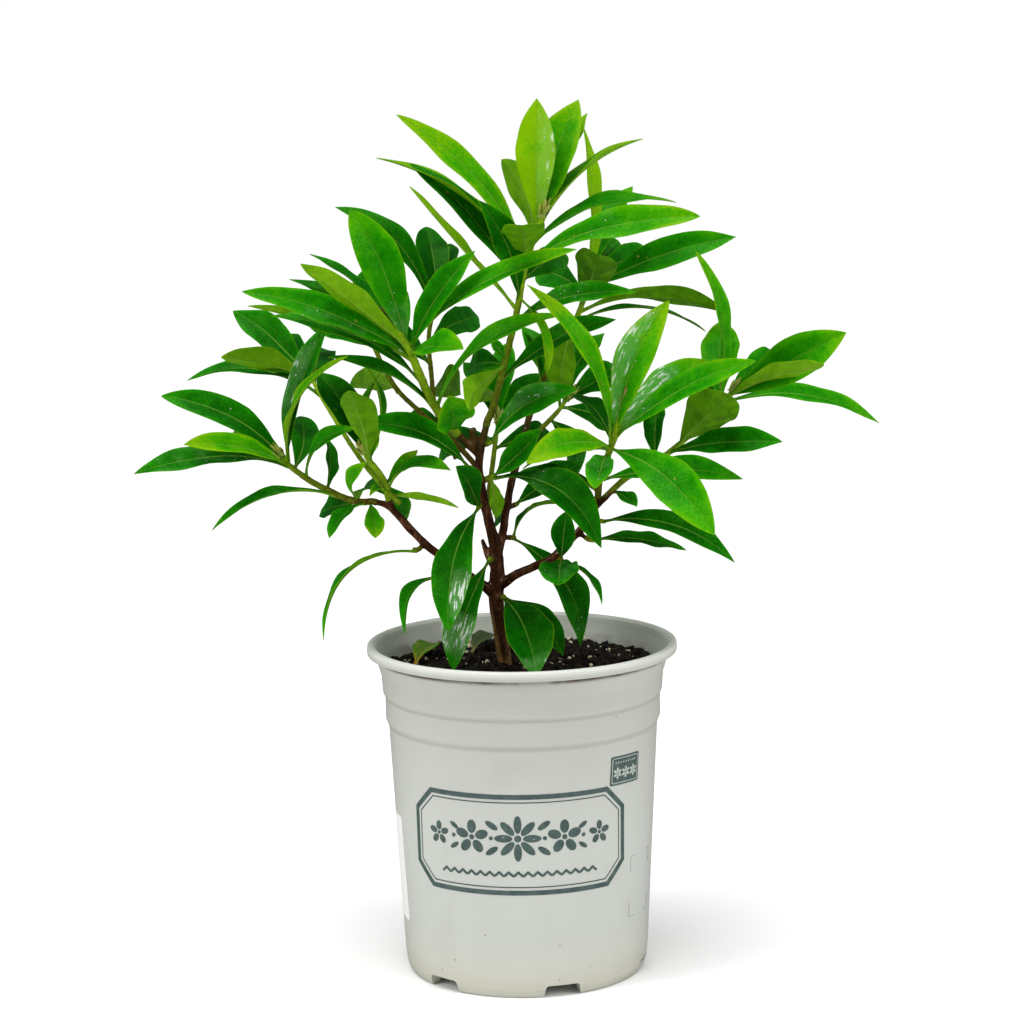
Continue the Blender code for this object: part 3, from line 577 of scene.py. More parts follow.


# Where water stands on a shoot's leaf, with its painted sheen, glints and highlights, by its row: side (0
# for both), share from, share to, strength
wetAndGlareBlades = {
    "shoot_right": {1: (1, 0.06, 0.92, 0.62), 3: (1, 0.10, 0.72, 0.80), 2: (1, 0.05, 0.30, 0.45),
                    7: (0, 0.20, 0.90, 0.24), 0: (1, 0.02, 0.25, 0.35)},
    "shoot_crown": {0: (-1, 0.05, 0.92, 0.42), 12: (0, 0.3, 0.8, 0.20), 15: (0, 0.2, 0.7, 0.22),
                    5: (0, 0.1, 0.6, 0.18)},
    "shoot_left_crown": {0: (0, 0.05, 0.30, 0.40), 6: (1, 0.2, 0.7, 0.30)},
    "shoot_left_fork": {3: (0, 0.2, 0.8, 0.25)},
    "shoot_far_left": {3: (1, 0.25, 0.85, 0.50), 0: (0, 0.1, 0.9, 0.08), 2: (0, 0.1, 0.9, 0.20)},
    "spur_front_left": {0: (1, 0.60, 0.88, 0.95)},
    "spur_front_low": {0: (0, 0.56, 0.86, 0.95)},
    "spur_front_pot": {0: (0, 0.82, 0.97, 0.62)},
    "spur_middle_low": {0: (0, 0.84, 0.98, 0.38)},
    "spur_middle": {0: (0, 0.1, 0.5, 0.22)},
    "spur_right_blade": {0: (1, 0.20, 0.90, 0.38)},
    "spur_right_heart": {0: (0, 0.1, 0.9, 0.22)},
}

# Leaves with a rounded tip, by their rows
roundBlades = {
    "shoot_crown": (11, 12), "shoot_top_right": (0, 9), "shoot_left_crown": (0, 12),
    "shoot_left_fork": (10,), "shoot_far_left": (11,), "shoot_right": (7,),
    "spur_middle_rear": (1,), "spur_right_heart": (0,),
}


# Stems and bark

stemShape = {"sides": 12, "step": 1.5, "scarGap": 5.2, "scar": 0.10, "grain": 0.10}
stemFinish = {
    "stops": [(0.0, (0.030, 0.010, 0.003)), (0.35, (0.068, 0.044, 0.004)), (0.6, (0.105, 0.150, 0.004)),
              (0.85, (0.170, 0.300, 0.005)), (1.0, (0.240, 0.420, 0.008))],
    "dots": ((0.22, 0.14, 0.06), 0.45, 420.0, 0.3, 0.22),
    "shine": (0.16, (0.75, 0.90, 0.35)),
}


def smoothRoute(knots, gap):
    # stops of place and radius on one curve through the knots
    first = (knots[0][0] * 2 - knots[1][0], knots[0][1])
    last = (knots[-1][0] * 2 - knots[-2][0], knots[-1][1])
    line = [first] + list(knots) + [last]
    stops = []
    for before, start, end, after in zip(line, line[1:], line[2:], line[3:]):
        a, b, step = end[0] - before[0], after[0] - start[0], end[0] - start[0]
        steps = max(2, round(step.length / gap))
        for number in range(steps):
            share = number / steps
            place = (start[0] + a * (0.5 * share) + (step * 3 - a - b * 0.5) * share ** 2
                     + (a * 0.5 + b * 0.5 - step * 2) * share ** 3)
            stops.append((place, start[1] + (end[1] - start[1]) * share))
    return stops + [knots[-1]]


def addTube(bm, stops, sides, youth=None, seed=0):
    # a grid rolled round the stops, closed at its seam and its ends, with leaf scars if it is young
    count = len(stops) - 1
    headings = [(stops[min(i + 1, count)][0] - stops[max(i - 1, 0)][0]).normalized()
                for i in range(count + 1)]
    across = headings[0].orthogonal().normalized()
    rings = []
    for heading in headings:
        across = (across - heading * across.dot(heading)).normalized()
        rings.append((across, heading.cross(across)))
    bladeLayer, moodLayer = layersOf(bm)
    grid = bmesh.ops.create_grid(bm, x_segments=sides, y_segments=count, size=1.0)["verts"]
    for vert in grid:
        turn = (vert.co.x + 1) * math.pi
        sine, cosine = math.sin(turn), math.cos(turn)
        number = round((vert.co.y + 1) / 2 * count)
        place, radius = stops[number]
        sideways, up = rings[number]
        if youth:
            along = number * stemShape["step"]
            beat = math.sin(math.tau * along / stemShape["scarGap"] + turn)
            bumps = noise.noise(Vector((cosine * 1.5, sine * 1.5, number * 0.25 + seed)))
            radius *= 1 + stemShape["scar"] * max(0.0, beat) ** 6
            radius *= 1 + stemShape["grain"] * bumps
            share = number / count
            vert[bladeLayer] = Vector((cosine, along, share))
            vert[moodLayer] = Vector((youth[0] + (youth[1] - youth[0]) * share, 0.0, 0.0))
        vert.co = (place + (sideways * cosine + up * sine) * radius) * mm
    bmesh.ops.remove_doubles(bm, verts=grid, dist=0.00001)
    ends = [edge for edge in bm.edges if edge.is_boundary]
    bmesh.ops.holes_fill(bm, edges=ends, sides=0)


def stemSkin():
    finish = newMaterial("stemSkin")
    place = objectPlace()
    grain = cloud(place, 420.0, detail=4.0)
    youth = plus(split(attribute("mood"))[0], scaled(grain, 0.7, -0.35))
    colour = dotted(colourScale(youth, stemFinish["stops"]), stemFinish["dots"], place)
    return dress(finish, colour, scaled(grain, 0.3, 0.35), relief(grain, 0.25), *stemFinish["shine"])


# Woody stems: front x, front z, depth y, radius
wood = {
    "main": [(-8, 141, 0, 4.2), (-9, 162, 0, 4.3), (-11.5, 182, 0, 3.9), (-13.2, 199, 0, 4.4),
        (-12.3, 212, 0, 4.4), (-13, 226, 0, 3.6), (-16, 240, -0.5, 2.9), (-19.2, 255, -1, 2.7),
        (-21.2, 268, -2, 2.6), (-19.6, 281, -2, 2.5), (-16.5, 293, -2, 2.1)],
    "second": [(-13, 219, 0, 3), (-10.5, 229, 2.5, 2.7), (-8.4, 239, 4.5, 2.4), (-6.4, 251, 8, 2.4),
        (-3.2, 265, 12, 2.3), (0.8, 277, 16, 2.3), (4, 290, 20, 2.2), (8, 303, 24, 2)],
    "right": [(-12, 206, 0, 3.2), (-5, 211, -5, 2.8), (1, 214, -9, 2.6), (9, 217.2, -14, 2.5),
        (17, 221, -19, 2.5), (25, 229, -22, 2.4), (32, 236, -24, 2.3), (37.5, 244, -26, 2.1),
        (41, 252.5, -27, 1.9)],
    "left": [(-13.5, 201, 0, 3.2), (-20, 207, -1.5, 2.9), (-28, 212.5, -2.5, 2.7), (-35, 217.5, -3, 2.6),
        (-42, 223, -4, 2.5), (-50, 229.5, -4, 2.4), (-57, 237, -4, 2.4), (-63, 244, -4, 2.3),
        (-68, 249.5, -4, 2.2)],
}

# Short side stubs of the wood that a shoot continues
stubs = {
    "left_crown": [(-21, 277, -2, 2.4), (-27, 283, -4, 2.5), (-32.5, 288.5, -6.8, 2.4)],
    "left_rear": [(-20.8, 266, -1, 2), (-22.6, 270.5, 4.5, 1.6)],
    "far_left": [(-66, 248, -4, 2.2), (-71.5, 251.5, -4.2, 2), (-76, 252.6, -4, 1.9)],
    "left_fork": [(-67, 248.5, -4, 2.1), (-69, 254.5, -5.6, 1.9)],
    "right_rear": [(38.5, 246.5, -26.4, 1.8), (44.6, 252.4, -23.2, 1.7)],
    "right_low": [(36, 241.5, -25.5, 1.7), (40.3, 240.8, -22.8, 1.4)],
    "right_lower": [(30.5, 234.5, -23.8, 1.7), (35.2, 231.4, -24.8, 1.4)],
    "middle": [(-20.3, 262.5, -1.2, 2), (-16.4, 264, -5.6, 1.8)],
    "middle_rear": [(-6.6, 248.5, 7.5, 1.9), (-3.4, 249.5, 11.8, 1.5)],
    "middle_low": [(-9.6, 232.5, 3.2, 2), (-5.4, 232.4, 6.6, 1.5)],
    "front_left": [(-18.6, 251.5, -1, 1.9), (-20.6, 249.8, -5.6, 1.5)],
    "front_low": [(-13.4, 219.5, 0, 1.9), (-15.6, 220.8, -6.6, 1.5)],
    "front_pot": [(-12.8, 200, 0, 2.2), (-9.8, 200.4, -6.8, 1.6)],
    "left_blade": [(-21.2, 268, -2, 1.9), (-24.2, 269.4, -6.4, 1.5)],
    "right_blade": [(-19.4, 281.5, -2, 1.8), (-16.2, 282.6, -6.2, 1.4)],
    "left_arc": [(-50, 229.5, -4, 1.8), (-53.4, 227.4, -6.4, 1.4)],
    "left_droop": [(-27, 212, -2.3, 1.8), (-29.8, 211.2, -6.4, 1.4)],
    "right_heart": [(19.5, 223.4, -20, 1.8), (21.2, 220.8, -24.6, 1.4)],
    "rear_left": [(-15.6, 238, 0, 2), (-16.4, 242.5, 5.4, 1.6)],
    "rear_right": [(0.4, 276, 15.6, 1.9), (3.6, 280.5, 20.4, 1.6)],
}

# Old cut ends and snags on the wood
snags = [
    [(-22, 280, -2, 2.4), (-24.2, 291, -5, 2.2)],
    [(-14.5, 218, 0, 2.6), (-17.5, 224, 2.2, 2.1), (-20.2, 232, 4, 1.3)],
    [(38, 245.5, -26, 1.5), (45.5, 252.5, -31.5, 1.7), (51, 257, -33.5, 0.8)],
]

bark = {
    "voxel": 0.55,
    "smoothing": 7,
    "ridge": 0.20,
    "grain": 0.04,
    "knuckle": 0.42,       # swelling round old joints
    "slim": 0.25,
    "stops": [(0.0, (0.017, 0.004, 0.001)), (0.40, (0.034, 0.009, 0.003)), (0.75, (0.062, 0.019, 0.007)),
              (1.0, (0.130, 0.050, 0.018))],
    "young": ((0.075, 0.082, 0.010), 0.55),
    "foot": ((0.300, 0.180, 0.060), 0.6),
    "strip": ((0.230, 0.130, 0.035), 0.6),
    "dots": ((0.28, 0.16, 0.08), 0.5, 330.0, 0.26, 0.14),
    # white dots painted as glints of water on the bark
    "paintedBarkGlints": ((0.62, 0.58, 0.54), 0.7, 520.0, 0.30, 0.035),
    "shine": (0.42, (1.0, 0.65, 0.45)),
}


def barkSkin():
    finish = newMaterial("barkSkin")
    place = objectPlace()
    x, y, height = split(place)
    fibre = cloud(place, 240.0, detail=5.0, stretch=(1.0, 1.0, 0.45))
    grain = cloud(place, 850.0)
    level = remap(fibre, 0.3, 0.75)
    colour = colourScale(level, bark["stops"])
    colour = laid(colour, bark["young"], remap(height, 0.272, 0.300))
    colour = laid(colour, bark["foot"], times(remap(height, 0.184, 0.166), level))
    # a paler strip where the skin has split near the foot
    lean = maths("ABSOLUTE", plus(times(height, 0.18), x, -0.0182))
    strip = times(remap(lean, 0.0019, 0.0009), remap(height, 0.197, 0.189))
    colour = laid(colour, bark["strip"], strip)
    # pale lenticel dots, then white dots painted as glints of water
    colour = dotted(dotted(colour, bark["dots"], place), bark["paintedBarkGlints"], place)
    normal = relief(plus(fibre, times(grain, 0.25)), 0.28)
    return dress(finish, colour, scaled(grain, 0.30, 0.12), normal, *bark["shine"])


def knots(rows):
    return [(fromFront(x, z, y), radius) for x, z, y, radius in rows]


def buildTrunk():
    bm = bmesh.new()
    for rows in [*wood.values(), *stubs.values(), *snags]:
        addTube(bm, smoothRoute(knots(rows), 2.0), 14)
    bm = meshAgain(shaped(meshFrom(bm), "REMESH", mode="VOXEL", voxel_size=bark["voxel"] * mm))
    for _ in range(bark["smoothing"]):
        bmesh.ops.smooth_vert(bm, verts=bm.verts, factor=0.5, use_axis_x=True, use_axis_y=True,
                              use_axis_z=True)
    bm.normal_update()
    moves = []
    for vert in bm.verts:
        place = vert.co / mm
        knuckle = max(0.0, noise.noise(place * 0.16 + Vector((2, 9, 4))))
        grain = noise.noise(place * 1.5 + Vector((7, 3, 1)))
        moves.append(bark["ridge"] * noise.noise(place * 0.14) + bark["grain"] * grain
                     + bark["knuckle"] * knuckle - bark["slim"])
    for vert, move in zip(bm.verts, moves):
        vert.co += vert.normal * (move * mm)
    addPiece(bm, "trunk_bark", [barkSkin()], standsFor="trunk")


buildTrunk()
print("trunk made")


# Shoots, each on the wood or the stub of its own name unless "on" says another.
# Stems: front x, front z, depth y, radius.
# Leaves: root x, root z, tip x, tip z, tip's depth past its root, width, face (0 upper side to
# the front, 90 edge-on, 180 underside), bow to the upper side, tone (0 dark, 1 yellow-green), which
# is set leaf by leaf, partly the leaf's own colour and partly painted light and shade.
shoots = {
    "shoot_crown": {"on": "main", "youth": (0.45, 1),
        "stems": [[(-13, 302, -2, 1.9), (-9, 316, -1.6, 1.8), (-5, 331, -1.2, 1.8), (-1, 346, -1, 1.7),
            (1.6, 358, -1, 1.75), (4.4, 372, -2, 1.6), (8.5, 386, -3, 1.5), (12, 395, -3, 1.5),
            (14.5, 402, -3.4, 0.7)]],
        "leaves": [(12, 395, 12.5, 462, 12, 21, 10, 0, 0.98), (13, 395, 34, 461, 22, 22, 12, 2, 0.66),
        (13, 396, 38.5, 454, 36, 17, 45, 0, 0.66), (12, 394, 67, 440.5, 30, 16, 78, 4, 0.78),
        (10, 388, 84, 407.5, 22, 17, 66, 6, 0.54), (6, 378, 96.5, 400, -20, 18, 35, 4, 0.6),
        (5, 381, -60, 455, -8, 15, 35, 5, 0.74), (4, 377, -71, 433, 25, 17, 80, 5, 0.76),
        (1.6, 364, -54, 430, 18, 16, 40, 3, 0.26), (1, 358, -18, 410, -34, 17, 32, 3, 0.24),
        (0, 354, -54, 418, -12, 14, 84, -5, 0.9), (10, 390, -6, 431, 36, 18, 150, 3, 0.45),
        (5, 378, 4, 397, -70, 22, 180, 0, 0.45), (4, 368, 27, 381, 52, 16, 10, 2, 0.4),
        (2.2, 360, 16, 320, -20, 10, 60, 3, 0.8), (0, 347, 63, 361, -22, 12.5, 35, 4, 0.44),
        (-8, 316, 52, 347, 10, 16, 45, 3, 0.34), (-9, 324, -26, 301, -64, 15, 150, 2, 0.6),
        (-9, 325, -26, 321, 38, 16, 30, 2, 0.34), (-8, 328, -14, 338, -14, 6, 20, 0, 0.5),
        (-11, 310, -22, 304, 40, 14, 130, 0, 0.5)]},
    "shoot_top_right": {"on": "second", "youth": (0.35, 0.95),
        "stems": [[(14, 316, 27, 1.8), (21, 329, 30, 1.7), (28, 341, 31, 1.6), (34, 354, 31, 1.5),
            (37, 364, 31, 1.4), (39.5, 372, 30, 0.7)]],
        "leaves": [(34.5, 354.5, 44, 380.5, -59, 23, 180, 0, 0.26),
        (38, 366, 54, 388, 52, 17, 0, 2, 0.42), (37, 363, 115, 389, -8, 18, 25, 2, 0.42),
        (33, 352, 112, 348.5, 14, 17, 120, 5, 0.36), (31, 347, 99, 340, 38, 9, 80, 6, 0.26),
        (38, 367, 36.5, 447, 18, 16, 64, 0, 0.95), (39, 368, 61.5, 416, 44, 15, 30, 2, 0.5),
        (29, 343, 24, 309, -26, 18, 160, 2, 0.36), (13, 314, 4, 341, -14, 8, 60, 0, 0.3),
        (36, 360, 12, 373, 60, 18, 0, 3, 0.4), (38, 368, 72, 379, 58, 18, 10, 3, 0.4)]},
    "shoot_left_crown": {"youth": (0.7, 0.95),
        "stems": [[(-38, 295, -9, 2.3), (-43, 302, -11, 2.3), (-48, 312, -14, 2.2), (-52, 322, -16, 2.2),
            (-56, 332, -18, 2), (-60, 340, -20, 1.8), (-63.5, 347, -22, 1.7), (-66, 352, -23.5, 0.7)]],
        "leaves": [(-57, 335, -85, 406, -14, 22, 10, 3, 0.5), (-54, 333, -21, 384, -20, 15, 30, 2, 0.42),
        (-56, 335, 32, 384, -30, 15, 52, 5, 0.58), (-57, 336, -107, 384, 28, 15, 70, 2, 0.34),
        (-57, 335, -112, 379, -34, 17, 135, -2, 0.66), (-56, 333, -118, 371, 34, 15, 50, 2, 0.28),
        (-55, 330, -143, 365, -18, 17, 35, 3, 0.46), (-54, 328, -140, 357.5, 10, 14, 120, 0, 0.5),
        (-50, 316, -128, 352, -4, 16, 50, 5, 0.36), (-43, 302, -99, 330, -14, 12, 62, 3, 0.36),
        (-54, 330, -28, 333, -80, 18, 55, 0, 0.58), (-43, 303, 27, 350, -30, 13, 55, 9, 0.58),
        (-34, 290, -36, 308, -46, 22, 20, 0, 0.58), (-57, 336, -75, 372, 50, 18, 10, 3, 0.4)]},
    "shoot_left_rear": {"youth": (0.25, 0.7),
        "stems": [[(-31, 281, 11, 1.5), (-40, 290, 16, 1.5), (-48, 297, 19, 1.4), (-56, 304.5, 22, 1.3),
            (-63, 312, 24, 1.3), (-69, 322, 26, 1.3), (-75, 336, 29, 1.2), (-78, 345, 31, 0.7)],
                  [(-38, 288, 15, 1.3), (-43, 301, 19, 1.3), (-45, 320, 24, 1.3), (-46, 339, 26, 1.2),
            (-43, 354, 27, 1.2), (-41, 363, 27, 0.7)]],
        "leaves": [(-42, 358, -46, 397, 42, 18, 15, 1, 0.16), (-41, 360, -33, 388, 46, 16, 20, 1, 0.16),
        (-44, 352, -93, 408, 12, 16, 40, 9, 0.34), (-44, 312, -30, 309, 42, 22, 150, 2, 0.3),
        (-46, 336, -20, 350, 58, 17, 10, 2, 0.3), (-45, 325, -76, 342, 60, 17, 20, 3, 0.26),
        (-62, 311, -88, 314, 52, 17, 130, 2, 0.42), (-36, 286, -63, 294, 45, 15, 30, 3, 0.3),
        (-74, 334, -110, 350, 55, 18, 10, 3, 0.3), (-76, 341, -72, 378, 48, 17, 10, 3, 0.34),
        (-77, 343, -100, 366, 46, 17, 20, 3, 0.34)]},
    "shoot_left_fork": {"youth": (0.75, 0.9),
        "stems": [[(-69.6, 260, -7, 1.8), (-73, 267, -10, 1.7), (-79, 275, -13, 1.6),
            (-82, 280, -15, 0.7)],
                  [(-69.8, 259, -6.5, 1.4), (-76, 266, 2, 1.4), (-86, 280, 14, 1.3), (-96, 297, 26, 1.3),
            (-104, 311, 34, 1.2), (-109, 321, 38, 0.7)]],
        "leaves": [(-80, 275, -105, 322, 28, 20, 25, 2, 0.22),
        (-79, 274, -88, 312, -60, 18, 160, 0, 0.36), (-80, 276, -81, 327, 6, 12, 80, 6, 0.66),
        (-79, 275, -72, 321, 12, 12, 80, 3, 0.62), (-79, 274, -74, 292, 2, 6, 20, 0, 0.8),
        (-70, 262, -53, 280, 12, 8, 30, 0, 0.72), (-69, 261, -36, 269, -20, 14, 66, 6, 0.5),
        (-69, 257, -32, 249, -16, 9, 115, -1, 0.6), (-69, 256, -85, 254, 34, 14, 60, 5, 0.5),
        (-70, 257, -79, 256, -14, 5, 60, 3, 0.7), (-73, 263, -59, 244, 24, 12, 30, 0, 0.52),
        (-107, 317, -148, 355, 28, 19, 20, 2, 0.32), (-108, 319, -155, 331, -25, 17, 135, 0, 0.62),
        (-104, 310, -173, 319, 8, 15, 56, 7, 0.28), (-108, 320, -126, 338, 59.7, 18, 0, 3, 0.32),
        (-107, 316, -100, 334, 52, 17, 10, 2, 0.32)]},
    "shoot_far_left": {"youth": (0.35, 0.75),
        "stems": [[(-85, 253, -3, 1.8), (-93, 255.5, -1, 1.7), (-100, 259, 0, 1.7), (-110, 264.5, 2, 1.6),
            (-121, 273, 4, 1.5), (-125.5, 279, 5, 0.7)]],
        "leaves": [(-122, 275, -187, 311, 12, 17, 25, 6, 0.3),
        (-121, 273, -176, 285, -32, 16, 50, 2, 0.72), (-121, 272, -202.8, 270, -32, 16, 45, 4, 0.3),
        (-121, 275, -98, 348, -18, 17, 50, 2, 0.28), (-121, 276, -89, 330, -40, 14, 84, 7, 0.72),
        (-97, 257, -163, 239, -22, 12, 68, 6, 0.36), (-113, 267, -86, 292, -22, 12, 60, 5, 0.46),
        (-101, 260, -100, 287, 28, 12, 55, 0, 0.36), (-86, 253, -80, 274, -16, 9, 50, 5, 0.66),
        (-84, 253, -105.5, 247, 30, 14, 40, 0, 0.28), (-81, 252.7, -101, 234, -22, 12, 60, 2, 0.38),
        (-79, 252.6, -76.5, 233.5, -14, 11, 20, 0, 0.66), (-120, 272, -150, 291, 58, 17, 0, 3, 0.32),
        (-118, 271, -114, 299, 56, 16, 0, 3, 0.32)]},
    "shoot_right": {"youth": (0.35, 0.95),
        "stems": [[(42.4, 262, -28, 1.8), (45.4, 271, -29, 1.8), (48.8, 280, -30, 1.7), (51, 287, -31, 2),
            (53.5, 296, -32, 1.5), (55, 301, -33, 0.6)]],
        "leaves": [(48.8, 282, 6, 366, -22, 13, 48, 7, 0.7), (51, 285, 80, 356.5, -6, 20, 15, 4, 0.66),
        (51, 284, 125, 324, -28, 15.5, 34, 3, 0.52), (51, 286, 99, 325, 37, 18.5, 20, 2, 0.6),
        (48, 280, 4, 272, -38, 16, 25, 5, 0.76), (48, 279, 2, 269, 36, 14, 60, 2, 0.38),
        (48.6, 279, 103, 232, -52, 23, 10, 6, 0.54), (46, 276, 40, 258, -62, 14, 20, 0, 0.46),
        (49, 282, 27, 308, 42, 15, 50, 3, 0.24), (43, 262, 118, 261.5, 8, 15, 36, 3, 0.42),
        (41.5, 257, 20, 264, 20, 12, 120, 0, 0.46), (41.6, 259, 0, 267, 22, 14, 40, 0, 0.26),
        (50, 284, 66, 300, 58, 18, 10, 3, 0.4)]},
    "shoot_right_rear": {"youth": (0.65, 0.85),
        "stems": [[(55, 262, -16, 1.6), (65, 268, -9, 1.6), (75, 273.5, -3, 1.6), (82, 278.5, 2, 1.5),
            (91, 286, 6, 1.4), (100, 295, 10, 1.4), (108, 303, 13, 1.3), (113, 309, 15, 0.7)]],
        "leaves": [(72, 272, 74, 304, 30, 13, 30, 0, 0.34), (49, 257, 62, 248, -14, 9, 45, 0, 0.38),
        (84, 280, 112, 306, -42, 26, 165, 0, 0.38), (79, 276, 139, 281, -30, 16, 30, 1, 0.3),
        (110, 305, 172.5, 338, -20, 23, 10, 0, 0.56), (110, 305, 161, 321.5, -45, 15, 130, 0, 0.6),
        (108, 302, 190, 290, 38, 15, 52, 6, 0.52), (105, 300, 94, 382, -14, 13, 60, 5, 0.6),
        (106, 302, 107, 345, 40, 21, 10, 0, 0.56), (110, 306, 142, 325, 60, 19, 5, 3, 0.42),
        (108, 304, 90, 320, 56, 18, 0, 3, 0.4), (95, 290, 112, 300, 58, 18, 10, 2, 0.4)]},
    "spur_right_low": {"youth": (0.5, 0.7), "stems": [[(45, 240, -20, 1.1)]],
        "leaves": [(43, 240.4, 113.5, 217, -22, 15, 38, 7, 0.22)]},
    "spur_right_lower": {"youth": (0.5, 0.7), "stems": [[(40, 230, -24, 1.1)]],
        "leaves": [(38, 230.4, 88, 224, 20, 12, 52, 1, 0.3)]},
    "spur_middle": {"youth": (0.5, 0.8), "stems": [[(-13, 265, -9, 1.4)]],
        "leaves": [(-13.5, 264, 43, 226, -46, 22, 35, 11, 0.22),
        (-14, 265, 12, 290, -20, 15, 30, -2, 0.36), (-14.6, 264, -12, 243, -7, 9, 150, 0, 0.5)]},
    "spur_middle_rear": {"youth": (0.4, 0.6), "stems": [[(-1, 250.5, 15, 1.2)]],
        "leaves": [(-2, 250, 34, 272, 24, 17, 30, 0, 0.22), (-2.4, 250, -13, 242, 34, 14, 40, 0, 0.24)]},
    "spur_middle_low": {"youth": (0.4, 0.6), "stems": [[(-2.6, 232, 9, 1.2)]],
        "leaves": [(-4, 232, 31, 173, 4, 20, 35, 9, 0.26), (-4, 232.4, 21, 250, 26, 9, 84, 5, 0.24)]},
    "spur_front_left": {"youth": (0.5, 0.7), "stems": [[(-22, 248.4, -9, 1.2)]],
        "leaves": [(-21.6, 248.6, -39, 182, -52, 21, 15, 5, 0.24),
        (-21.4, 249, -33, 271, -34, 16, 35, 0, 0.24)]},
    "spur_front_low": {"youth": (0.5, 0.7), "stems": [[(-16.4, 221, -10, 1.2)]],
        "leaves": [(-16.2, 221, -37, 161, -27, 18, 25, 2, 0.24)]},
    "spur_front_pot": {"youth": (0.4, 0.6), "stems": [[(-8.6, 200.2, -10, 1.2)]],
        "leaves": [(-9.4, 200.4, 7.4, 157, -48, 25.5, 20, 3, 0.16),
        (-9, 200.4, 22, 168, -22, 16, 40, 3, 0.14)]},
    "spur_left_blade": {"youth": (0.5, 0.7), "stems": [[(-27, 270.6, -8.6, 1.2)]],
        "leaves": [(-25.8, 270, -84, 294, -18, 17, 40, 6, 0.32)]},
    "spur_right_blade": {"youth": (0.5, 0.7), "stems": [[(-14, 283.6, -9.4, 1.1)]],
        "leaves": [(-15, 283, 32, 311, -14, 16, 25, 6, 0.36)]},
    "spur_left_arc": {"youth": (0.5, 0.7), "stems": [[(-56.5, 227, -9, 1.1)]],
        "leaves": [(-55, 227.2, -105.5, 179, -28, 13, 84, 13, 0.46)]},
    "spur_left_droop": {"youth": (0.5, 0.7), "stems": [[(-32, 211.6, -9.4, 1.1)]],
        "leaves": [(-31, 211.4, -62, 181, -20, 13, 68, 12, 0.36)]},
    "spur_right_heart": {"youth": (0.4, 0.6), "stems": [[(22, 219.4, -28, 1.2)]],
        "leaves": [(21.6, 220, 20, 206.5, -28, 21, 10, 0, 0.28),
        (21.6, 220.4, 25, 246, -12, 13, 10, 0, 0.22), (21.8, 219.8, 43, 196, -18, 9, 72, 3, 0.32)]},
    "shoot_rear_left": {"youth": (0.4, 0.8),
        "stems": [[(-16, 256, 18, 1.5), (-14, 270, 30, 1.4), (-12, 284, 40, 1.3), (-10.5, 295, 46, 0.7)]],
        "leaves": [(-11, 290, 18, 318, 46, 17, 20, 3, 0.36), (-11, 292, -28, 326, 40, 16, 20, 3, 0.36),
        (-12, 285, -42, 276, 46, 17, 30, 3, 0.3), (-13, 280, 20, 283, 48, 17, 20, 3, 0.3),
        (-11, 292, -4, 336, 30, 16, 10, 2, 0.42)]},
    "shoot_rear_right": {"youth": (0.4, 0.8),
        "stems": [[(10, 288, 34, 1.4), (20, 298, 45, 1.3), (27, 307, 52, 0.7)]],
        "leaves": [(25, 304, 60, 318, 40, 17, 20, 3, 0.36), (26, 305, 22, 344, 38, 17, 10, 3, 0.42),
        (24, 303, 46, 340, 28, 15, 30, 3, 0.4), (22.4, 301.4, 3, 344, 32, 16, 20, 3, 0.36),
        (23, 301, 54, 288, 44, 17, 20, 3, 0.32), (17, 295, 32, 268, 42, 17, 30, 2, 0.3)]},
}

# Buds at the ends of stems: length, how rosy they are
buds = {
    "shoot_left_crown": (13, 0.75), "shoot_right": (14, 0.6), "shoot_crown": (11, 0.25),
    "shoot_top_right": (11, 0.15), "shoot_left_rear": (8, 0.3), "shoot_left_fork": (8, 0.2),
    "shoot_far_left": (9, 0.2), "shoot_right_rear": (10, 0.3), "shoot_rear_left": (10, 0.3),
    "shoot_rear_right": (10, 0.3),
}
budShape = {"scales": 6, "width": 3.2, "spread": 17.0, "turn": 137.5, "sink": 2.2, "apart": 0.9}


def shootStem(name, rows):
    # a shoot's own line, which starts in line with the wood that carries it
    (before, _), (end, radius) = knots(wood.get(name) or stubs[name])[-2:]
    heading = (end - before).normalized()
    start = [(end + heading * 0.3, radius * 0.96), (end + heading * 1.5, radius * 0.94)]
    return start + knots(rows)


def addBud(bm, before, tip, length, rosy, seed):
    heading = (tip - before).normalized()
    side = heading.orthogonal().normalized()
    for number in range(budShape["scales"]):
        inner = number / budShape["scales"]
        lean = math.radians(budShape["spread"] * (1.15 - inner))
        outward = Matrix.Rotation(math.radians(budShape["turn"] * number), 3, heading) @ side
        root = tip + (outward * budShape["apart"] - heading * budShape["sink"]) * (1 - inner)
        way = heading * math.cos(lean) + outward * math.sin(lean)
        end = root + way * length * (0.62 + 0.38 * inner)
        addBlade(bm, budSheet, root, end, budShape["width"] * (1.1 - 0.4 * inner), -outward,
                 (-outward).cross(way), outward * 0.6, rosy, seed + number, finish=2)


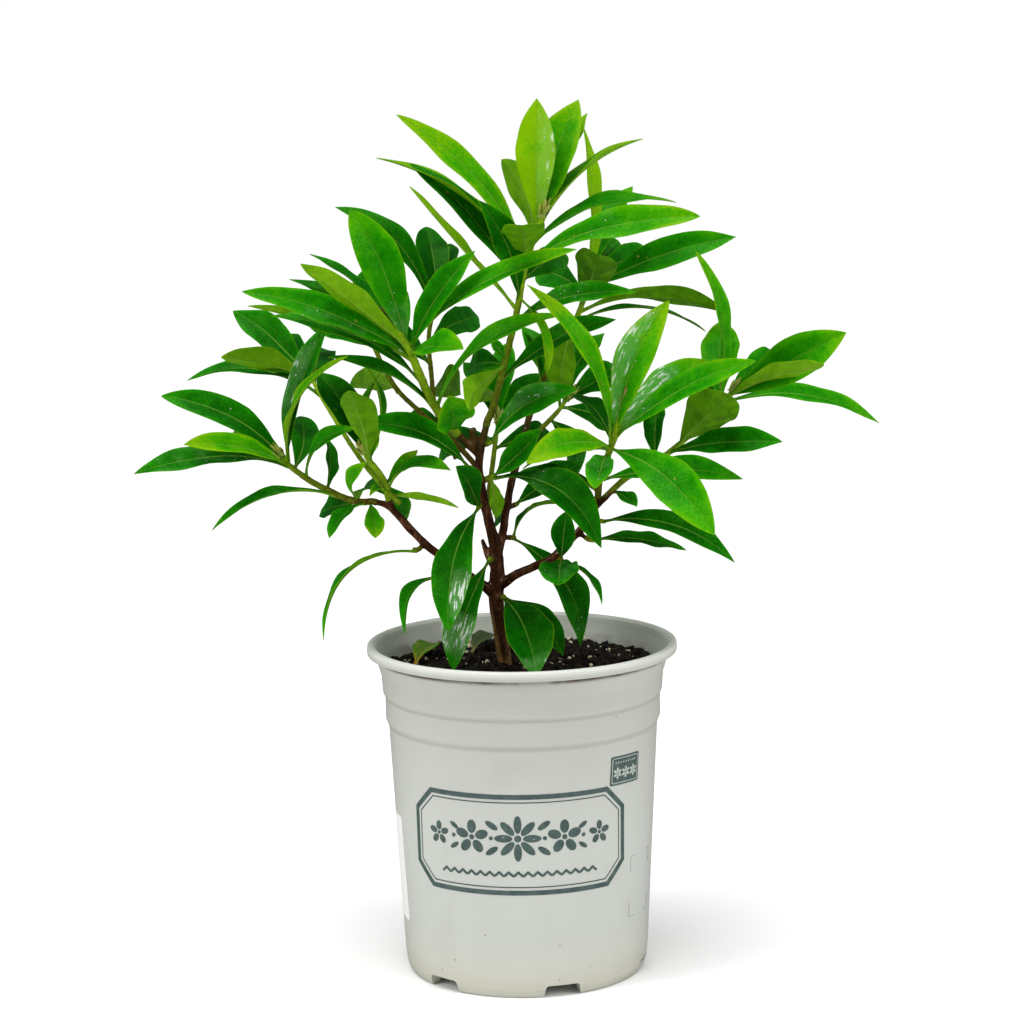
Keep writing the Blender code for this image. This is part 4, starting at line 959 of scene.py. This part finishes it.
def buildShoot(name, plan, number):
    stems = [shootStem(plan.get("on", name.split("_", 1)[1]), plan["stems"][0])]
    stems += [knots(rows) for rows in plan["stems"][1:]]
    bm = leafMesh()
    for place, row in enumerate(plan["leaves"]):
        rootX, rootZ, tipX, tipZ, deeper, width, face, bow, tone = row
        root, radius = nearestSeen(stems, rootX, rootZ)
        tip = fromFront(tipX, tipZ, root.y + deeper)
        root = root + (tip - root).normalized() * (radius * blade["rootSink"])
        across, out, upper = bladeAxes(root, tip, face)
        addBlade(bm, leafSheet, root, tip, width, out, across, upper * bow, tone,
                 number * 40 + place, wetAndGlare=wetAndGlareBlades.get(name, {}).get(place),
                 rounded=place in roundBlades.get(name, ()))
    if name in buds:
        for stem in stems:
            addBud(bm, stem[-2][0], stem[-1][0], *buds[name], number * 50)
    addPiece(bm, name + "_leaves", leafFinishes, 50, standsFor=name)
    bm = leafMesh()
    for stem in stems:
        inWood = (stem[0][0] * 2 - stem[1][0], stem[0][1])
        line = smoothRoute([inWood] + stem[1:], stemShape["step"])
        addTube(bm, line, stemShape["sides"], plan["youth"], number)
    addPiece(bm, name + "_stem", [stemGreen], standsFor=name)


stemGreen = stemSkin()
for number, (name, plan) in enumerate(shoots.items()):
    buildShoot(name, plan, number)
print("shoots made:", len(shoots))


# Pot

pot = {
    "wall": 1.5,
    "floor": 8.0,
    "footInner": 57.5,
    "steps": 192,
    "edge": 0.45,
    "notches": 6,
    "notchWidth": 21.0,
    "notchTaper": 0.86,
    "notchHeight": 6.5,
    "notchCorner": 1.4,
    "firstNotch": 16.6,
    "drainHoles": 6,
    "drainRadius": 4.0,
    "drainCircle": 40.0,
}

# The wall's outside from above the foot to under the rim, the rim and the foot: radius, height
wallLine = [(65.4, 12.0), (71.6, 133.4), (73.2, 137.2), (73.2, 148.8), (74.4, 151.6), (75.0, 160.5),
            (76.4, 165.2), (78.2, 171.5)]
rimLine = [(80.8, 177.0), (82.2, 176.3), (82.5, 174.0), (82.3, 172.0), (81.0, 171.6), (79.6, 173.2)]
rimInside = [(77.6, 175.6), (79.0, 176.8)]
footLine = [(64.6, 4.5), (63.6, 1.6), (62.7, 0.0)]

potFinish = {
    "plastic": [(0.480, 0.500, 0.458), (0.526, 0.543, 0.503)],
    "aged": ((0.600, 0.575, 0.440), 0.40),
    "flow": ((0.42, 0.43, 0.36), 0.07),
    # soil is the hue of the smudges and the darker foot, and of the painted shade in the creases and up
    # the wall
    "soil": ((0.25, 0.23, 0.18), 1.0),
    # a painted shadow under the rim's lip
    "shadowUnderLip": ((0.085, 0.060, 0.040), 1.0),
    "crest": ((0.760, 0.775, 0.730), 0.42),
    "dots": ((0.16, 0.13, 0.09), 0.55, 130.0, 0.095, 0.32),
    # painted light on the inner wall
    "inside": ((0.84, 0.85, 0.78), 0.34),
    "splash": ((0.16, 0.14, 0.11), 0.35),
    # heights and distances from the axis, in metres, between which a mask grows from 0 to 1
    "agedFoot": (0.036, 0.004),
    "darkerFoot": (0.020, 0.0),
    "paintedShadeUpWall": (0.075, 0.160),
    "creaseShade": [(0.1345, 0.0022), (0.1495, 0.0020)],    # height, reach
    "lipShadowHeights": [(0.1684, 0.1706), (0.1740, 0.1728)],
    "lipShadowReach": [(0.0769, 0.0773), (0.0815, 0.0800)],
    "crestHeights": (0.1725, 0.1762),
    "litInsideHeights": [(0.160, 0.163), (0.1755, 0.1735)],
    "splashHeights": [(0.1730, 0.1650), (0.1625, 0.1635)],
    "splashReach": (0.0757, 0.0753),
}


def wallRadius(height):
    line = footLine[::-1] + wallLine
    for (radiusA, low), (radiusB, high) in zip(line, line[1:]):
        if height <= high:
            return radiusA + (radiusB - radiusA) * (height - low) / (high - low)
    return line[-1][0]


def potPlastic():
    finish = newMaterial("potPlastic")
    place = objectPlace()
    x, y, z = split(place)
    away = maths("SQRT", plus(times(x, x), times(y, y)))
    colour = tint(cloud(place, 14.0), *potFinish["plastic"])
    colour = laid(colour, potFinish["aged"], remap(z, *potFinish["agedFoot"]))
    flow = cloud(place, 60.0, detail=4.0, stretch=(1, 1, 0.12))
    colour = laid(colour, potFinish["flow"], remap(flow, 0.45, 0.75))
    smudge = remap(cloud(place, 34.0, detail=6.0), 0.56, 0.78)
    # smudges all over, smudged darker towards the bottom, painted shade in the two creases, and painted
    # shade that grows up the wall towards the rim
    creaseShade = [remap(maths("ABSOLUTE", maths("SUBTRACT", z, height)), reach, 0.0)
               for height, reach in potFinish["creaseShade"]]
    soil = maths("MAXIMUM", times(remap(z, *potFinish["darkerFoot"]), scaled(smudge, 0.25, 0.10)),
                 times(maths("MAXIMUM", *creaseShade), 0.28))
    soil = scaled(remap(z, *potFinish["paintedShadeUpWall"]), 0.22, scaled(smudge, 0.10, soil))
    colour = laid(colour, potFinish["soil"], soil)
    # painted shadow: a thin dark band on the wall right under the rim's lip
    lipShadow = times(*[remap(z, *pair) for pair in potFinish["lipShadowHeights"]],
                *[remap(away, *pair) for pair in potFinish["lipShadowReach"]],
                remap(cloud(place, 55.0), 0.30, 0.62, 0.35, 1.0))
    colour = laid(colour, potFinish["shadowUnderLip"], lipShadow)
    # painted light: the top of the rim paler where the light falls on it
    colour = laid(colour, potFinish["crest"], remap(z, *potFinish["crestHeights"]))
    colour = dotted(colour, potFinish["dots"], place)
    # painted light: the inner wall paler from the mix up to the rim
    inside = times(*[remap(z, *pair) for pair in potFinish["litInsideHeights"]],
                   maths("LESS_THAN", away, scaled(z, 0.28, 0.0290)))
    colour = laid(colour, potFinish["inside"], inside)
    splash = times(*[remap(z, *pair) for pair in potFinish["splashHeights"]],
                   remap(away, *potFinish["splashReach"]),
                   remap(cloud(place, 90.0, detail=6.0), 0.35, 0.75))
    colour = laid(colour, potFinish["splash"], splash)
    normal = relief(plus(times(cloud(place, 1500.0, detail=2.0), 0.2), flow), 0.12, 0.5)
    return dress(finish, colour, scaled(smudge, 0.16, 0.40), normal, 0.4, **{
        "Subsurface Weight": 0.15, "Subsurface Radius": (1.0, 1.0, 0.9), "Subsurface Scale": 0.002})


def spinSolid(profile, steps, edge=None):
    # a closed solid of revolution from a wire that runs from pole to pole
    bm = bmesh.new()
    wire = [bm.verts.new((radius * mm, 0, height * mm)) for radius, height in profile]
    for a, b in zip(wire, wire[1:]):
        bm.edges.new((a, b))
    if edge:
        roundOff(bm, [vert for vert in wire if len(vert.link_edges) == 2], edge * mm, 3, "VERTICES")
    bmesh.ops.spin(bm, geom=bm.verts[:] + bm.edges[:], cent=middle, axis=(0, 0, 1),
                   angle=math.tau, steps=steps, use_merge=True)
    bmesh.ops.remove_doubles(bm, verts=bm.verts, dist=0.000002)
    return bm


def potCutters():
    bm = bmesh.new()
    reach = footLine[-1][0] + 6.0
    depth = reach - pot["footInner"] + 4.0
    for number in range(pot["notches"]):
        block = bmesh.ops.create_cube(bm, size=1.0)["verts"]
        for vert in block:
            top = vert.co.z > 0
            vert.co.x *= pot["notchWidth"] * (pot["notchTaper"] if top else 1.0)
            vert.co.y = -(reach - depth / 2) + vert.co.y * depth
            vert.co.z = pot["notchHeight"] if top else -2.0
        bmesh.ops.scale(bm, verts=block, vec=(mm, mm, mm))
        turn = turned(pot["firstNotch"] + 360 / pot["notches"] * number)
        bmesh.ops.rotate(bm, verts=block, cent=middle, matrix=turn)
    corners = [edge for edge in bm.edges if all(vert.co.z > 0 for vert in edge.verts)]
    roundOff(bm, corners, pot["notchCorner"] * mm, 4, "EDGES")
    for number in range(pot["drainHoles"]):
        radius = pot["drainRadius"] * mm
        hole = bmesh.ops.create_cone(bm, cap_ends=True, segments=32, radius1=radius, radius2=radius,
                                     depth=10 * mm)["verts"]
        place = turned(360 / pot["drainHoles"] * number) @ Vector((pot["drainCircle"], 0, 0))
        place.z = pot["floor"] - pot["wall"] / 2
        bmesh.ops.translate(bm, verts=hole, vec=place * mm)
    return placed("cutters", meshFrom(bm))


def buildPot():
    inside = [(radius - pot["wall"], height) for radius, height in wallLine]
    floor = [(0, pot["floor"]), (inside[0][0] - 3, pot["floor"])]
    under = pot["floor"] - pot["wall"]
    foot = [(pot["footInner"], 0), (pot["footInner"] - 1, under), (0, under)]
    profile = floor + inside + rimInside + rimLine + wallLine[::-1] + footLine + foot
    solid = meshFrom(spinSolid(profile, pot["steps"], pot["edge"]))
    cutter = potCutters()
    bm = meshAgain(shaped(solid, "BOOLEAN", operation="DIFFERENCE", object=cutter, solver="EXACT"))
    bpy.data.objects.remove(cutter)
    bmesh.ops.remove_doubles(bm, verts=bm.verts, dist=0.000002)
    addPiece(bm, "pot_shell", [potPlastic()], 32, standsFor="pot")


buildPot()
print("pot made")


# Print on the pot: a plain generic banner, a small panel, light corner marks and a blank label

printing = {
    "thickness": 0.10,
    "clear": 0.02,
    "banner": {"turn": -3.3, "height": 83.6, "width": 124.0, "tall": 54.0, "corner": 12.0},
    "panel": {"turn": 48.0, "height": 117.6, "width": 22.5, "tall": 15.5, "corner": 1.2, "lean": 1.5},
    "corners": {"turn": 63.0, "height": 52.0, "width": 22.0, "tall": 33.0},
    "label": {"turn": -98.0, "height": 59.0, "width": 66.0, "tall": 57.0, "corner": 2.0},
    "ink": [(0.050, 0.085, 0.078), (0.075, 0.115, 0.104)],
    "inkDots": ((0.35, 0.38, 0.34), 0.6, 700.0, 0.16, 0.10),
    "paleInk": [(0.20, 0.23, 0.21), (0.34, 0.37, 0.34)],
    "motifInk": [(0.46, 0.50, 0.45), (0.38, 0.42, 0.38)],
    "paper": [(0.76, 0.76, 0.74), (0.84, 0.84, 0.82)],
    "aged": ((0.62, 0.58, 0.48), 0.12),
}


def printInk():
    finish = newMaterial("printInk")
    place = objectPlace()
    worn = blotch(place, scale=260.0, edge=0.2)
    colour = dotted(tint(worn, *printing["ink"]), printing["inkDots"], place)
    return dress(finish, colour, scaled(worn, 0.12, 0.42), shine=0.35)


def plainInk(name, edge, roughness):
    finish = newMaterial(name)
    worn = blotch(objectPlace(), scale=300.0, edge=edge)
    return dress(finish, tint(worn, *printing[name]), roughness)


def labelPaper():
    finish = newMaterial("labelPaper")
    place = objectPlace()
    fibre, aged = cloud(place, 500.0, detail=5.0), cloud(place, 25.0)
    colour = laid(tint(fibre, *printing["paper"]), printing["aged"], aged)
    return dress(finish, colour, scaled(aged, 0.1, 0.5), relief(fibre, 0.03))


def printPiece(bm, name, plan, ink, proud=0.0):
    # flat print, with arc and height in millimetres, laid round the wall at a turn from the front
    bm.normal_update()
    bmesh.ops.reverse_faces(bm, faces=[face for face in bm.faces if face.normal.z < 0])
    bm.normal_update()
    bmesh.ops.solidify(bm, geom=bm.faces, thickness=printing["thickness"])
    lowest = min(vert.co.z for vert in bm.verts)
    tilt = turned(-plan.get("lean", 0.0))
    for vert in bm.verts:
        arc, up, lift = tilt @ vert.co
        up += plan["height"]
        radius = wallRadius(up)
        angle = math.radians(plan["turn"]) + arc / radius
        reach = radius + printing["clear"] + proud + lift - lowest
        vert.co = Vector((math.sin(angle) * reach, -math.cos(angle) * reach, up)) * mm
    addPiece(bm, name, [ink], 40)


def bandPoints(width, tall, corner, step):
    # points round a panel with cut corners, a step or less apart
    w, h = width / 2, tall / 2
    turns = [(w, -h + corner), (w, h - corner), (w - corner, h), (-w + corner, h),
             (-w, h - corner), (-w, -h + corner), (-w + corner, -h), (w - corner, -h)]
    points = []
    for (x0, y0), (x1, y1) in zip(turns, turns[1:] + turns[:1]):
        parts = max(1, math.ceil(math.hypot(x1 - x0, y1 - y0) / step))
        points += [(x0 + (x1 - x0) * i / parts, y0 + (y1 - y0) * i / parts) for i in range(parts)]
    return points


def addOutline(bm, plan, inset, corner, line):
    # the border of a panel, as a band of one width
    ring = bmesh.new()
    points = bandPoints(plan["width"] - inset, plan["tall"] - inset, corner, 3.0)
    face = ring.faces.new([ring.verts.new((x, y, 0)) for x, y in points])
    ring.normal_update()
    bmesh.ops.inset_individual(ring, faces=[face], thickness=line, use_even_offset=True)
    bmesh.ops.delete(ring, geom=[face], context="FACES_KEEP_BOUNDARY")
    mesh = bpy.data.meshes.new("ring")
    ring.to_mesh(mesh)
    ring.free()
    bm.from_mesh(mesh)


def layFlat(bm, verts, x, y, wide, tall, turn=0.0):
    bmesh.ops.scale(bm, verts=verts, vec=(wide, tall, 1))
    bmesh.ops.rotate(bm, verts=verts, cent=middle, matrix=turned(turn))
    bmesh.ops.translate(bm, verts=verts, vec=(x, y, 0))


def addSpot(bm, x, y, wide, tall, turn=0.0, segments=20):
    # a disc or an oval petal
    spot = bmesh.ops.create_circle(bm, cap_ends=True, segments=segments, radius=0.5)["verts"]
    layFlat(bm, spot, x, y, wide, tall, turn)


def addFlower(bm, x, y, size, petals=5):
    for number in range(petals):
        angle = 90 + 360 / petals * number
        away = turned(angle) @ Vector((size * 0.30, 0, 0))
        addSpot(bm, x + away.x, y + away.y, size * 0.38, size * 1.3 / petals, angle)
    addSpot(bm, x, y, size * 0.15, size * 0.15)


def addBar(bm, x, y, wide, tall, turn=0.0, parts=1):
    bar = bmesh.ops.create_grid(bm, x_segments=parts, y_segments=1, size=0.5)["verts"]
    layFlat(bm, bar, x, y, wide, tall, turn)


def plateMesh(plan, columns, rows):
    bm = bmesh.new()
    plate = bmesh.ops.create_grid(bm, x_segments=columns, y_segments=rows, size=0.5)["verts"]
    layFlat(bm, plate, 0, 0, plan["width"], plan["tall"])
    far = [vert for vert in plate if len(vert.link_faces) == 1]
    roundOff(bm, far, plan["corner"], 4, "VERTICES")
    return bm


def bannerMesh(plan):
    bm = bmesh.new()
    rowHeight, waveHeight, wavePitch = 3.5, -15.6, 5.0
    addOutline(bm, plan, 0, plan["corner"], 2.6)
    addOutline(bm, plan, 8, plan["corner"] - 2.2, 0.6)
    addFlower(bm, 0, rowHeight, 25, 8)
    for side in (-1, 1):
        for x, size in ((24.5, 19), (44.5, 13)):
            addFlower(bm, side * x, rowHeight, size)
        for x in (14.0, 35.0):
            addSpot(bm, side * x, rowHeight, 2.2, 2.2)
        for rise in (-1, 1):
            for x, away, wide, tall in ((13.6, 6.8, 7.6, 3.2), (34.6, 5.4, 5.6, 2.4)):
                addSpot(bm, side * x, rowHeight + rise * away, wide, tall, side * rise * 34)
    for number in range(-8, 9):
        for side in (-1, 1):
            addBar(bm, number * wavePitch + side * 1.1, waveHeight, 3.7, 1.3, -42 * side)
    return bm


def motifMesh(plan):
    bm = bmesh.new()
    addOutline(bm, plan, 2.0, 0.8, 0.4)
    for number in (-1, 0, 1):
        addFlower(bm, number * 6.2, -1.3, 6.4, 6)
    for number in range(-4, 5):
        addSpot(bm, number * 1.9, 4.3, 0.9, 0.9, segments=10)
    return bm


def cornersMesh(plan):
    bm = bmesh.new()
    for sideX in (-1, 1):
        for sideY in (-1, 1):
            x, y = sideX * plan["width"] / 2, sideY * plan["tall"] / 2
            addBar(bm, x - sideX * 2.5, y, 5.0, 0.35, parts=2)
            addBar(bm, x, y - sideY * 4.2, 0.35, 8.0)
    return bm


def buildPrint():
    ink = printInk()
    faint, light = plainInk("paleInk", 0.15, 0.5), plainInk("motifInk", 0.2, 0.45)
    banner, panel, corners, label = [printing[name] for name in ("banner", "panel", "corners", "label")]
    printPiece(bannerMesh(banner), "print_banner", banner, ink)
    printPiece(plateMesh(panel, 8, 4), "print_panel", panel, ink)
    printPiece(motifMesh(panel), "print_panel_motif", panel, light, 0.05)
    printPiece(cornersMesh(corners), "print_corners", corners, faint)
    printPiece(plateMesh(label, 30, 12), "pot_label", label, labelPaper())


buildPrint()
print("print made")


# Potting mix

mix = {
    "top": 163.5,
    "lump": 2.2,
    "clod": 1.1,
    "crumb": 0.55,
    "mound": 1.2,
    "moundReach": 9.0,
    "gap": 0.25,
    "rings": 56,
    "steps": 220,
    "trunkFoot": (-9.0, 0.0),
    "reach": 71.0,
    "bed": [(0.002, 0.001, 0.001), (0.013, 0.008, 0.005)],
    "crumbs": [(0.002, 0.001, 0.001), (0.024, 0.015, 0.009)],
    "chips": [(0.014, 0.006, 0.003), (0.110, 0.052, 0.024)],
    "perlite": [(0.80, 0.74, 0.56), (0.50, 0.38, 0.20)],
    "dust": (0.20, 0.16, 0.11),
}


def mixSurface(x, y):
    # the same lumps and slight fall to the wall as the solid under it, with clods and crumbs
    def lumps(rate, seed):
        return noise.noise(Vector((x * rate, y * rate, seed)))
    coarse = lumps(0.045, 3.1) + 0.6 * lumps(0.16, 7.7)
    fall = (math.hypot(x, y) / 70.0) ** 4
    footX, footY = mix["trunkFoot"]
    near = ((x - footX) ** 2 + (y - footY) ** 2) / mix["moundReach"] ** 2
    return (mix["top"] + mix["lump"] * coarse - fall + mix["clod"] * lumps(0.42, 1.9)
            + mix["crumb"] * lumps(1.1, 5.3) + mix["mound"] * math.exp(-near))


def mixFinish(name, colours, scale, roughness):
    finish = newMaterial(name)
    place = objectPlace()
    coarse = cloud(place, scale, detail=6.0)
    colour = tint(remap(coarse, 0.32, 0.72), *mix[colours])
    colour = dotted(colour, (mix["dust"], 0.35, scale * 3, 0.3, 0.12), place)
    return dress(finish, colour, scaled(coarse, -0.4, roughness), relief(coarse, 0.9), 0.18)


def perliteFinish():
    finish = newMaterial("perlite")
    place = objectPlace()
    stain = cloud(place, 160.0)
    colour = tint(remap(stain, 0.35, 0.7), *mix["perlite"])
    pits = cells(place, 1800.0)["Distance"]
    return dress(finish, colour, scaled(stain, 0.2, 0.6), relief(pits, 0.25))


def buildMix():
    inside = [(radius - pot["wall"] - mix["gap"], height) for radius, height in wallLine
              if height < mix["top"] - 1]
    wall = inside[-1][0] + 0.35
    rings = [(wall * i / mix["rings"], mix["top"]) for i in range(mix["rings"] + 1)]
    under = [(inside[0][0] - 3.0, pot["floor"] + 0.3), (0, pot["floor"] + 0.3)]
    bm = spinSolid(rings + inside[::-1] + under, mix["steps"])
    for vert in bm.verts:
        if vert.co.z > (mix["top"] - 1) * mm:
            vert.co.z = mixSurface(vert.co.x / mm, vert.co.y / mm) * mm
    soil = mixFinish("mixBed", "bed", 260.0, 0.95)
    addPiece(bm, "mix_bed", [soil], standsFor="potting_mix")


def scatter(name, count, finish, makeBit, seed, reach=mix["reach"]):
    draw = random.Random(seed)
    bm = bmesh.new()
    carrier = bpy.data.meshes.new("bit")
    for _ in range(count):
        away, turn = reach * math.sqrt(draw.random()), draw.uniform(0, math.tau)
        x, y = away * math.cos(turn), away * math.sin(turn)
        bit = bmesh.new()
        height = makeBit(bit, draw)
        spin = Euler((draw.uniform(-0.5, 0.5), draw.uniform(-0.5, 0.5), draw.uniform(0, 6.28)))
        bmesh.ops.rotate(bit, verts=bit.verts, cent=middle, matrix=spin.to_matrix())
        place = Vector((x, y, mixSurface(x, y) + height * draw.uniform(0.0, 0.55)))
        bmesh.ops.translate(bit, verts=bit.verts, vec=place)
        bit.to_mesh(carrier)
        bit.free()
        bm.from_mesh(carrier)
    bmesh.ops.scale(bm, verts=bm.verts, vec=(mm, mm, mm))
    addPiece(bm, name, [finish], 60)


def lumpyBall(bit, size, rough, rate, offset):
    bmesh.ops.create_uvsphere(bit, u_segments=8, v_segments=5, radius=size)
    for vert in bit.verts:
        vert.co *= 1 + rough * noise.noise(vert.co * (rate / size) + Vector(offset))


def crumbBit(bit, draw):
    size = 0.8 + 2.7 * draw.random() ** 2.2
    lumpyBall(bit, size, 0.85, 1.5, (draw.uniform(0, 50), draw.uniform(0, 50), 0))
    stretch = (draw.uniform(0.8, 1.3), draw.uniform(0.7, 1.1), draw.uniform(0.55, 0.9))
    bmesh.ops.scale(bit, verts=bit.verts, vec=stretch)
    return size * 0.6


def perliteBit(bit, draw):
    size = 0.4 + 1.3 * draw.random() ** 2.2
    lumpyBall(bit, size, 0.3, 1.2, (draw.uniform(0, 50), 0, draw.uniform(0, 50)))
    return size * 1.2


def chipBit(bit, draw):
    long, wide, thick = draw.uniform(2.5, 7.0), draw.uniform(1.2, 2.8), draw.uniform(0.6, 1.3)
    bmesh.ops.create_cube(bit, size=1.0)
    bmesh.ops.subdivide_edges(bit, edges=bit.edges, cuts=2, use_grid_fill=True)
    offset = Vector((long * 9, wide * 9, 0))
    for vert in bit.verts:
        vert.co *= 0.86 + 0.5 * noise.noise(vert.co * 1.7 + offset)
    bmesh.ops.scale(bit, verts=bit.verts, vec=(long, wide, thick))
    return thick


def fibreBit(bit, draw):
    bmesh.ops.create_cone(bit, cap_ends=True, segments=5, radius1=0.3, radius2=0.16,
                          depth=draw.uniform(4, 12))
    bmesh.ops.rotate(bit, verts=bit.verts, cent=middle, matrix=turned(84, "Y"))
    return 0.9


buildMix()
crumbSkin = mixFinish("mixCrumb", "crumbs", 420.0, 0.82)
chipSkin = mixFinish("barkChip", "chips", 300.0, 0.8)
scatter("mix_crumbs", count=1100, finish=crumbSkin, makeBit=crumbBit, seed=11)
scatter("mix_perlite", count=400, finish=perliteFinish(), makeBit=perliteBit, seed=23)
scatter("mix_chips", count=110, finish=chipSkin, makeBit=chipBit, seed=37)
scatter("mix_fibres", count=40, finish=chipSkin, makeBit=fibreBit, seed=41, reach=66.0)
print("potting mix made")


# Leaves that dropped on the mix: root x, root y, tip x, tip y, width, lift of the tip, colours
dropped = {
    "dropped_leaf_left": {
        "row": (-57, 0, -46, 42, 15, 2), "body": (0.06, 0.27, 0.004), "tip": (0.01, 0.14, 0.002),
        "base": (0.60, 0.30, 0.01)},
    # the rear leaf's dark grey-green is partly its own colour and partly painted shade, as it lies in the
    # shadow of the leaves above
    "dropped_leaf_rear": {
        "row": (-27, 24, -13, 60, 14, 2), "body": (0.05, 0.11, 0.03), "tip": (0.03, 0.08, 0.02),
        "base": (0.20, 0.16, 0.07)},
}


def droppedFinish(name, plan):
    finish = newMaterial(name)
    marks = attribute("blade")
    share = split(marks)[2]
    lines = useGroup(bladeMarks, Blade=marks)
    streak = remap(cloud(marks, 1.1, stretch=(1.0, 0.16, 0.0)), 0.42, 0.68)
    colour = tint(remap(share, 0.3, 1.0), plan["body"], plan["tip"])
    colour = tint(remap(share, 0.25, 0.0), colour, plan["base"])
    colour = laid(colour, (plan["base"], 0.45), streak)
    colour = laid(colour, ((0.45, 0.42, 0.10), 0.7), lines["Midrib"])
    patch = blotch(objectPlace(), scale=180.0, edge=0.2)
    return dress(finish, colour, scaled(patch, 0.2, 0.4), relief(lines["Relief"], 0.2), 0.3)


def buildDropped(name, plan):
    rootX, rootY, tipX, tipY, width, lift = plan["row"]
    root, tip = Vector((rootX, rootY, 0)), Vector((tipX, tipY, lift))
    along = (tip - root).normalized()
    across = along.cross(Vector((0, 0, 1))).normalized()
    out = across.cross(along)
    bm = leafMesh()
    addBlade(bm, leafSheet, root, tip, width, out, across, out, 0.9, len(name))
    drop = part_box(name)[0].z - min(vert.co.z for vert in bm.verts)
    bmesh.ops.translate(bm, verts=bm.verts, vec=(0, 0, drop))
    finish = droppedFinish(name + "_skin", plan)
    addPiece(bm, name + "_blade", [finish, finish], 50, standsFor=name)


for name, plan in dropped.items():
    buildDropped(name, plan)
print("dropped leaves made")


# Studio

studio = {
    "floorSize": 16.0,
    "floor": (0.88, 0.88, 0.88, 1),
    "fill": 0.36,
    "glare": 0.25,       # share of the fill and the overhead that glossy surfaces mirror
    "aim": Vector((0, 0, 0.22)),
    "overhead": {"from": (-0.08, -0.16, 1.0), "angle": 46.0, "strength": 2.8},
    "left": {"place": (-1.15, -0.60, 0.80), "size": 0.5, "power": 8.0},
    "right": {"place": (1.20, -0.70, 0.80), "size": 0.6, "power": 9.0},
}


def addLamp(name, kind, away, **values):
    light = bpy.data.lights.new(name, kind)
    for key, value in values.items():
        setattr(light, key, value)
    lamp = placed(name, light)
    lamp.rotation_euler = Vector(away).to_track_quat("Z", "Y").to_euler()
    return lamp


def buildStudio():
    bm = bmesh.new()
    bmesh.ops.create_grid(bm, x_segments=1, y_segments=1, size=studio["floorSize"] / 2)
    finish = dress(newMaterial("studioFloor"), studio["floor"], 0.9, shine=0.1)
    floor = placed("floor", meshFrom(bm, "floor", [finish]))
    floor.visible_glossy = False
    # the world is white to the camera and dimmer to everything else
    world = bpy.data.worlds.new("studio")
    world.use_nodes = True
    bench["tree"] = world.node_tree
    path = addNode("LightPath").outputs
    dimmer = remap(path["Is Glossy Ray"], 0.0, 1.0, studio["fill"], studio["fill"] * studio["glare"])
    fill = world.node_tree.nodes["Background"]
    feed(fill, {"Color": (1, 1, 1, 1), "Strength": dimmer})
    backdrop = addNode("Background", {"Color": (1, 1, 1, 1)})
    both = addNode("MixShader", {0: path["Is Camera Ray"], 1: fill.outputs[0], 2: backdrop.outputs[0]})
    feed(world.node_tree.nodes["World Output"], {"Surface": both.outputs[0]})
    bpy.context.scene.world = world
    plan = studio["overhead"]
    addLamp("overhead", "SUN", plan["from"], energy=plan["strength"], angle=math.radians(plan["angle"]),
            specular_factor=studio["glare"])
    for name in ("left", "right"):
        plan = studio[name]
        away = Vector(plan["place"]) - studio["aim"]
        lamp = addLamp(name, "AREA", away, energy=plan["power"], size=plan["size"])
        lamp.location = plan["place"]
    bpy.context.scene.view_settings.view_transform = "Standard"


def buildCamera():
    camera = placed("camera", bpy.data.cameras.new("camera"))
    camera.data.lens = view["lens"]
    camera.data.sensor_width = view["sensor"]
    stance = turned(90 - view["pitch"], "X") @ turned(-view["roll"])
    camera.matrix_world = Matrix.Translation(view["eye"] * mm) @ stance.to_4x4()
    bpy.context.scene.camera = camera


buildStudio()
buildCamera()
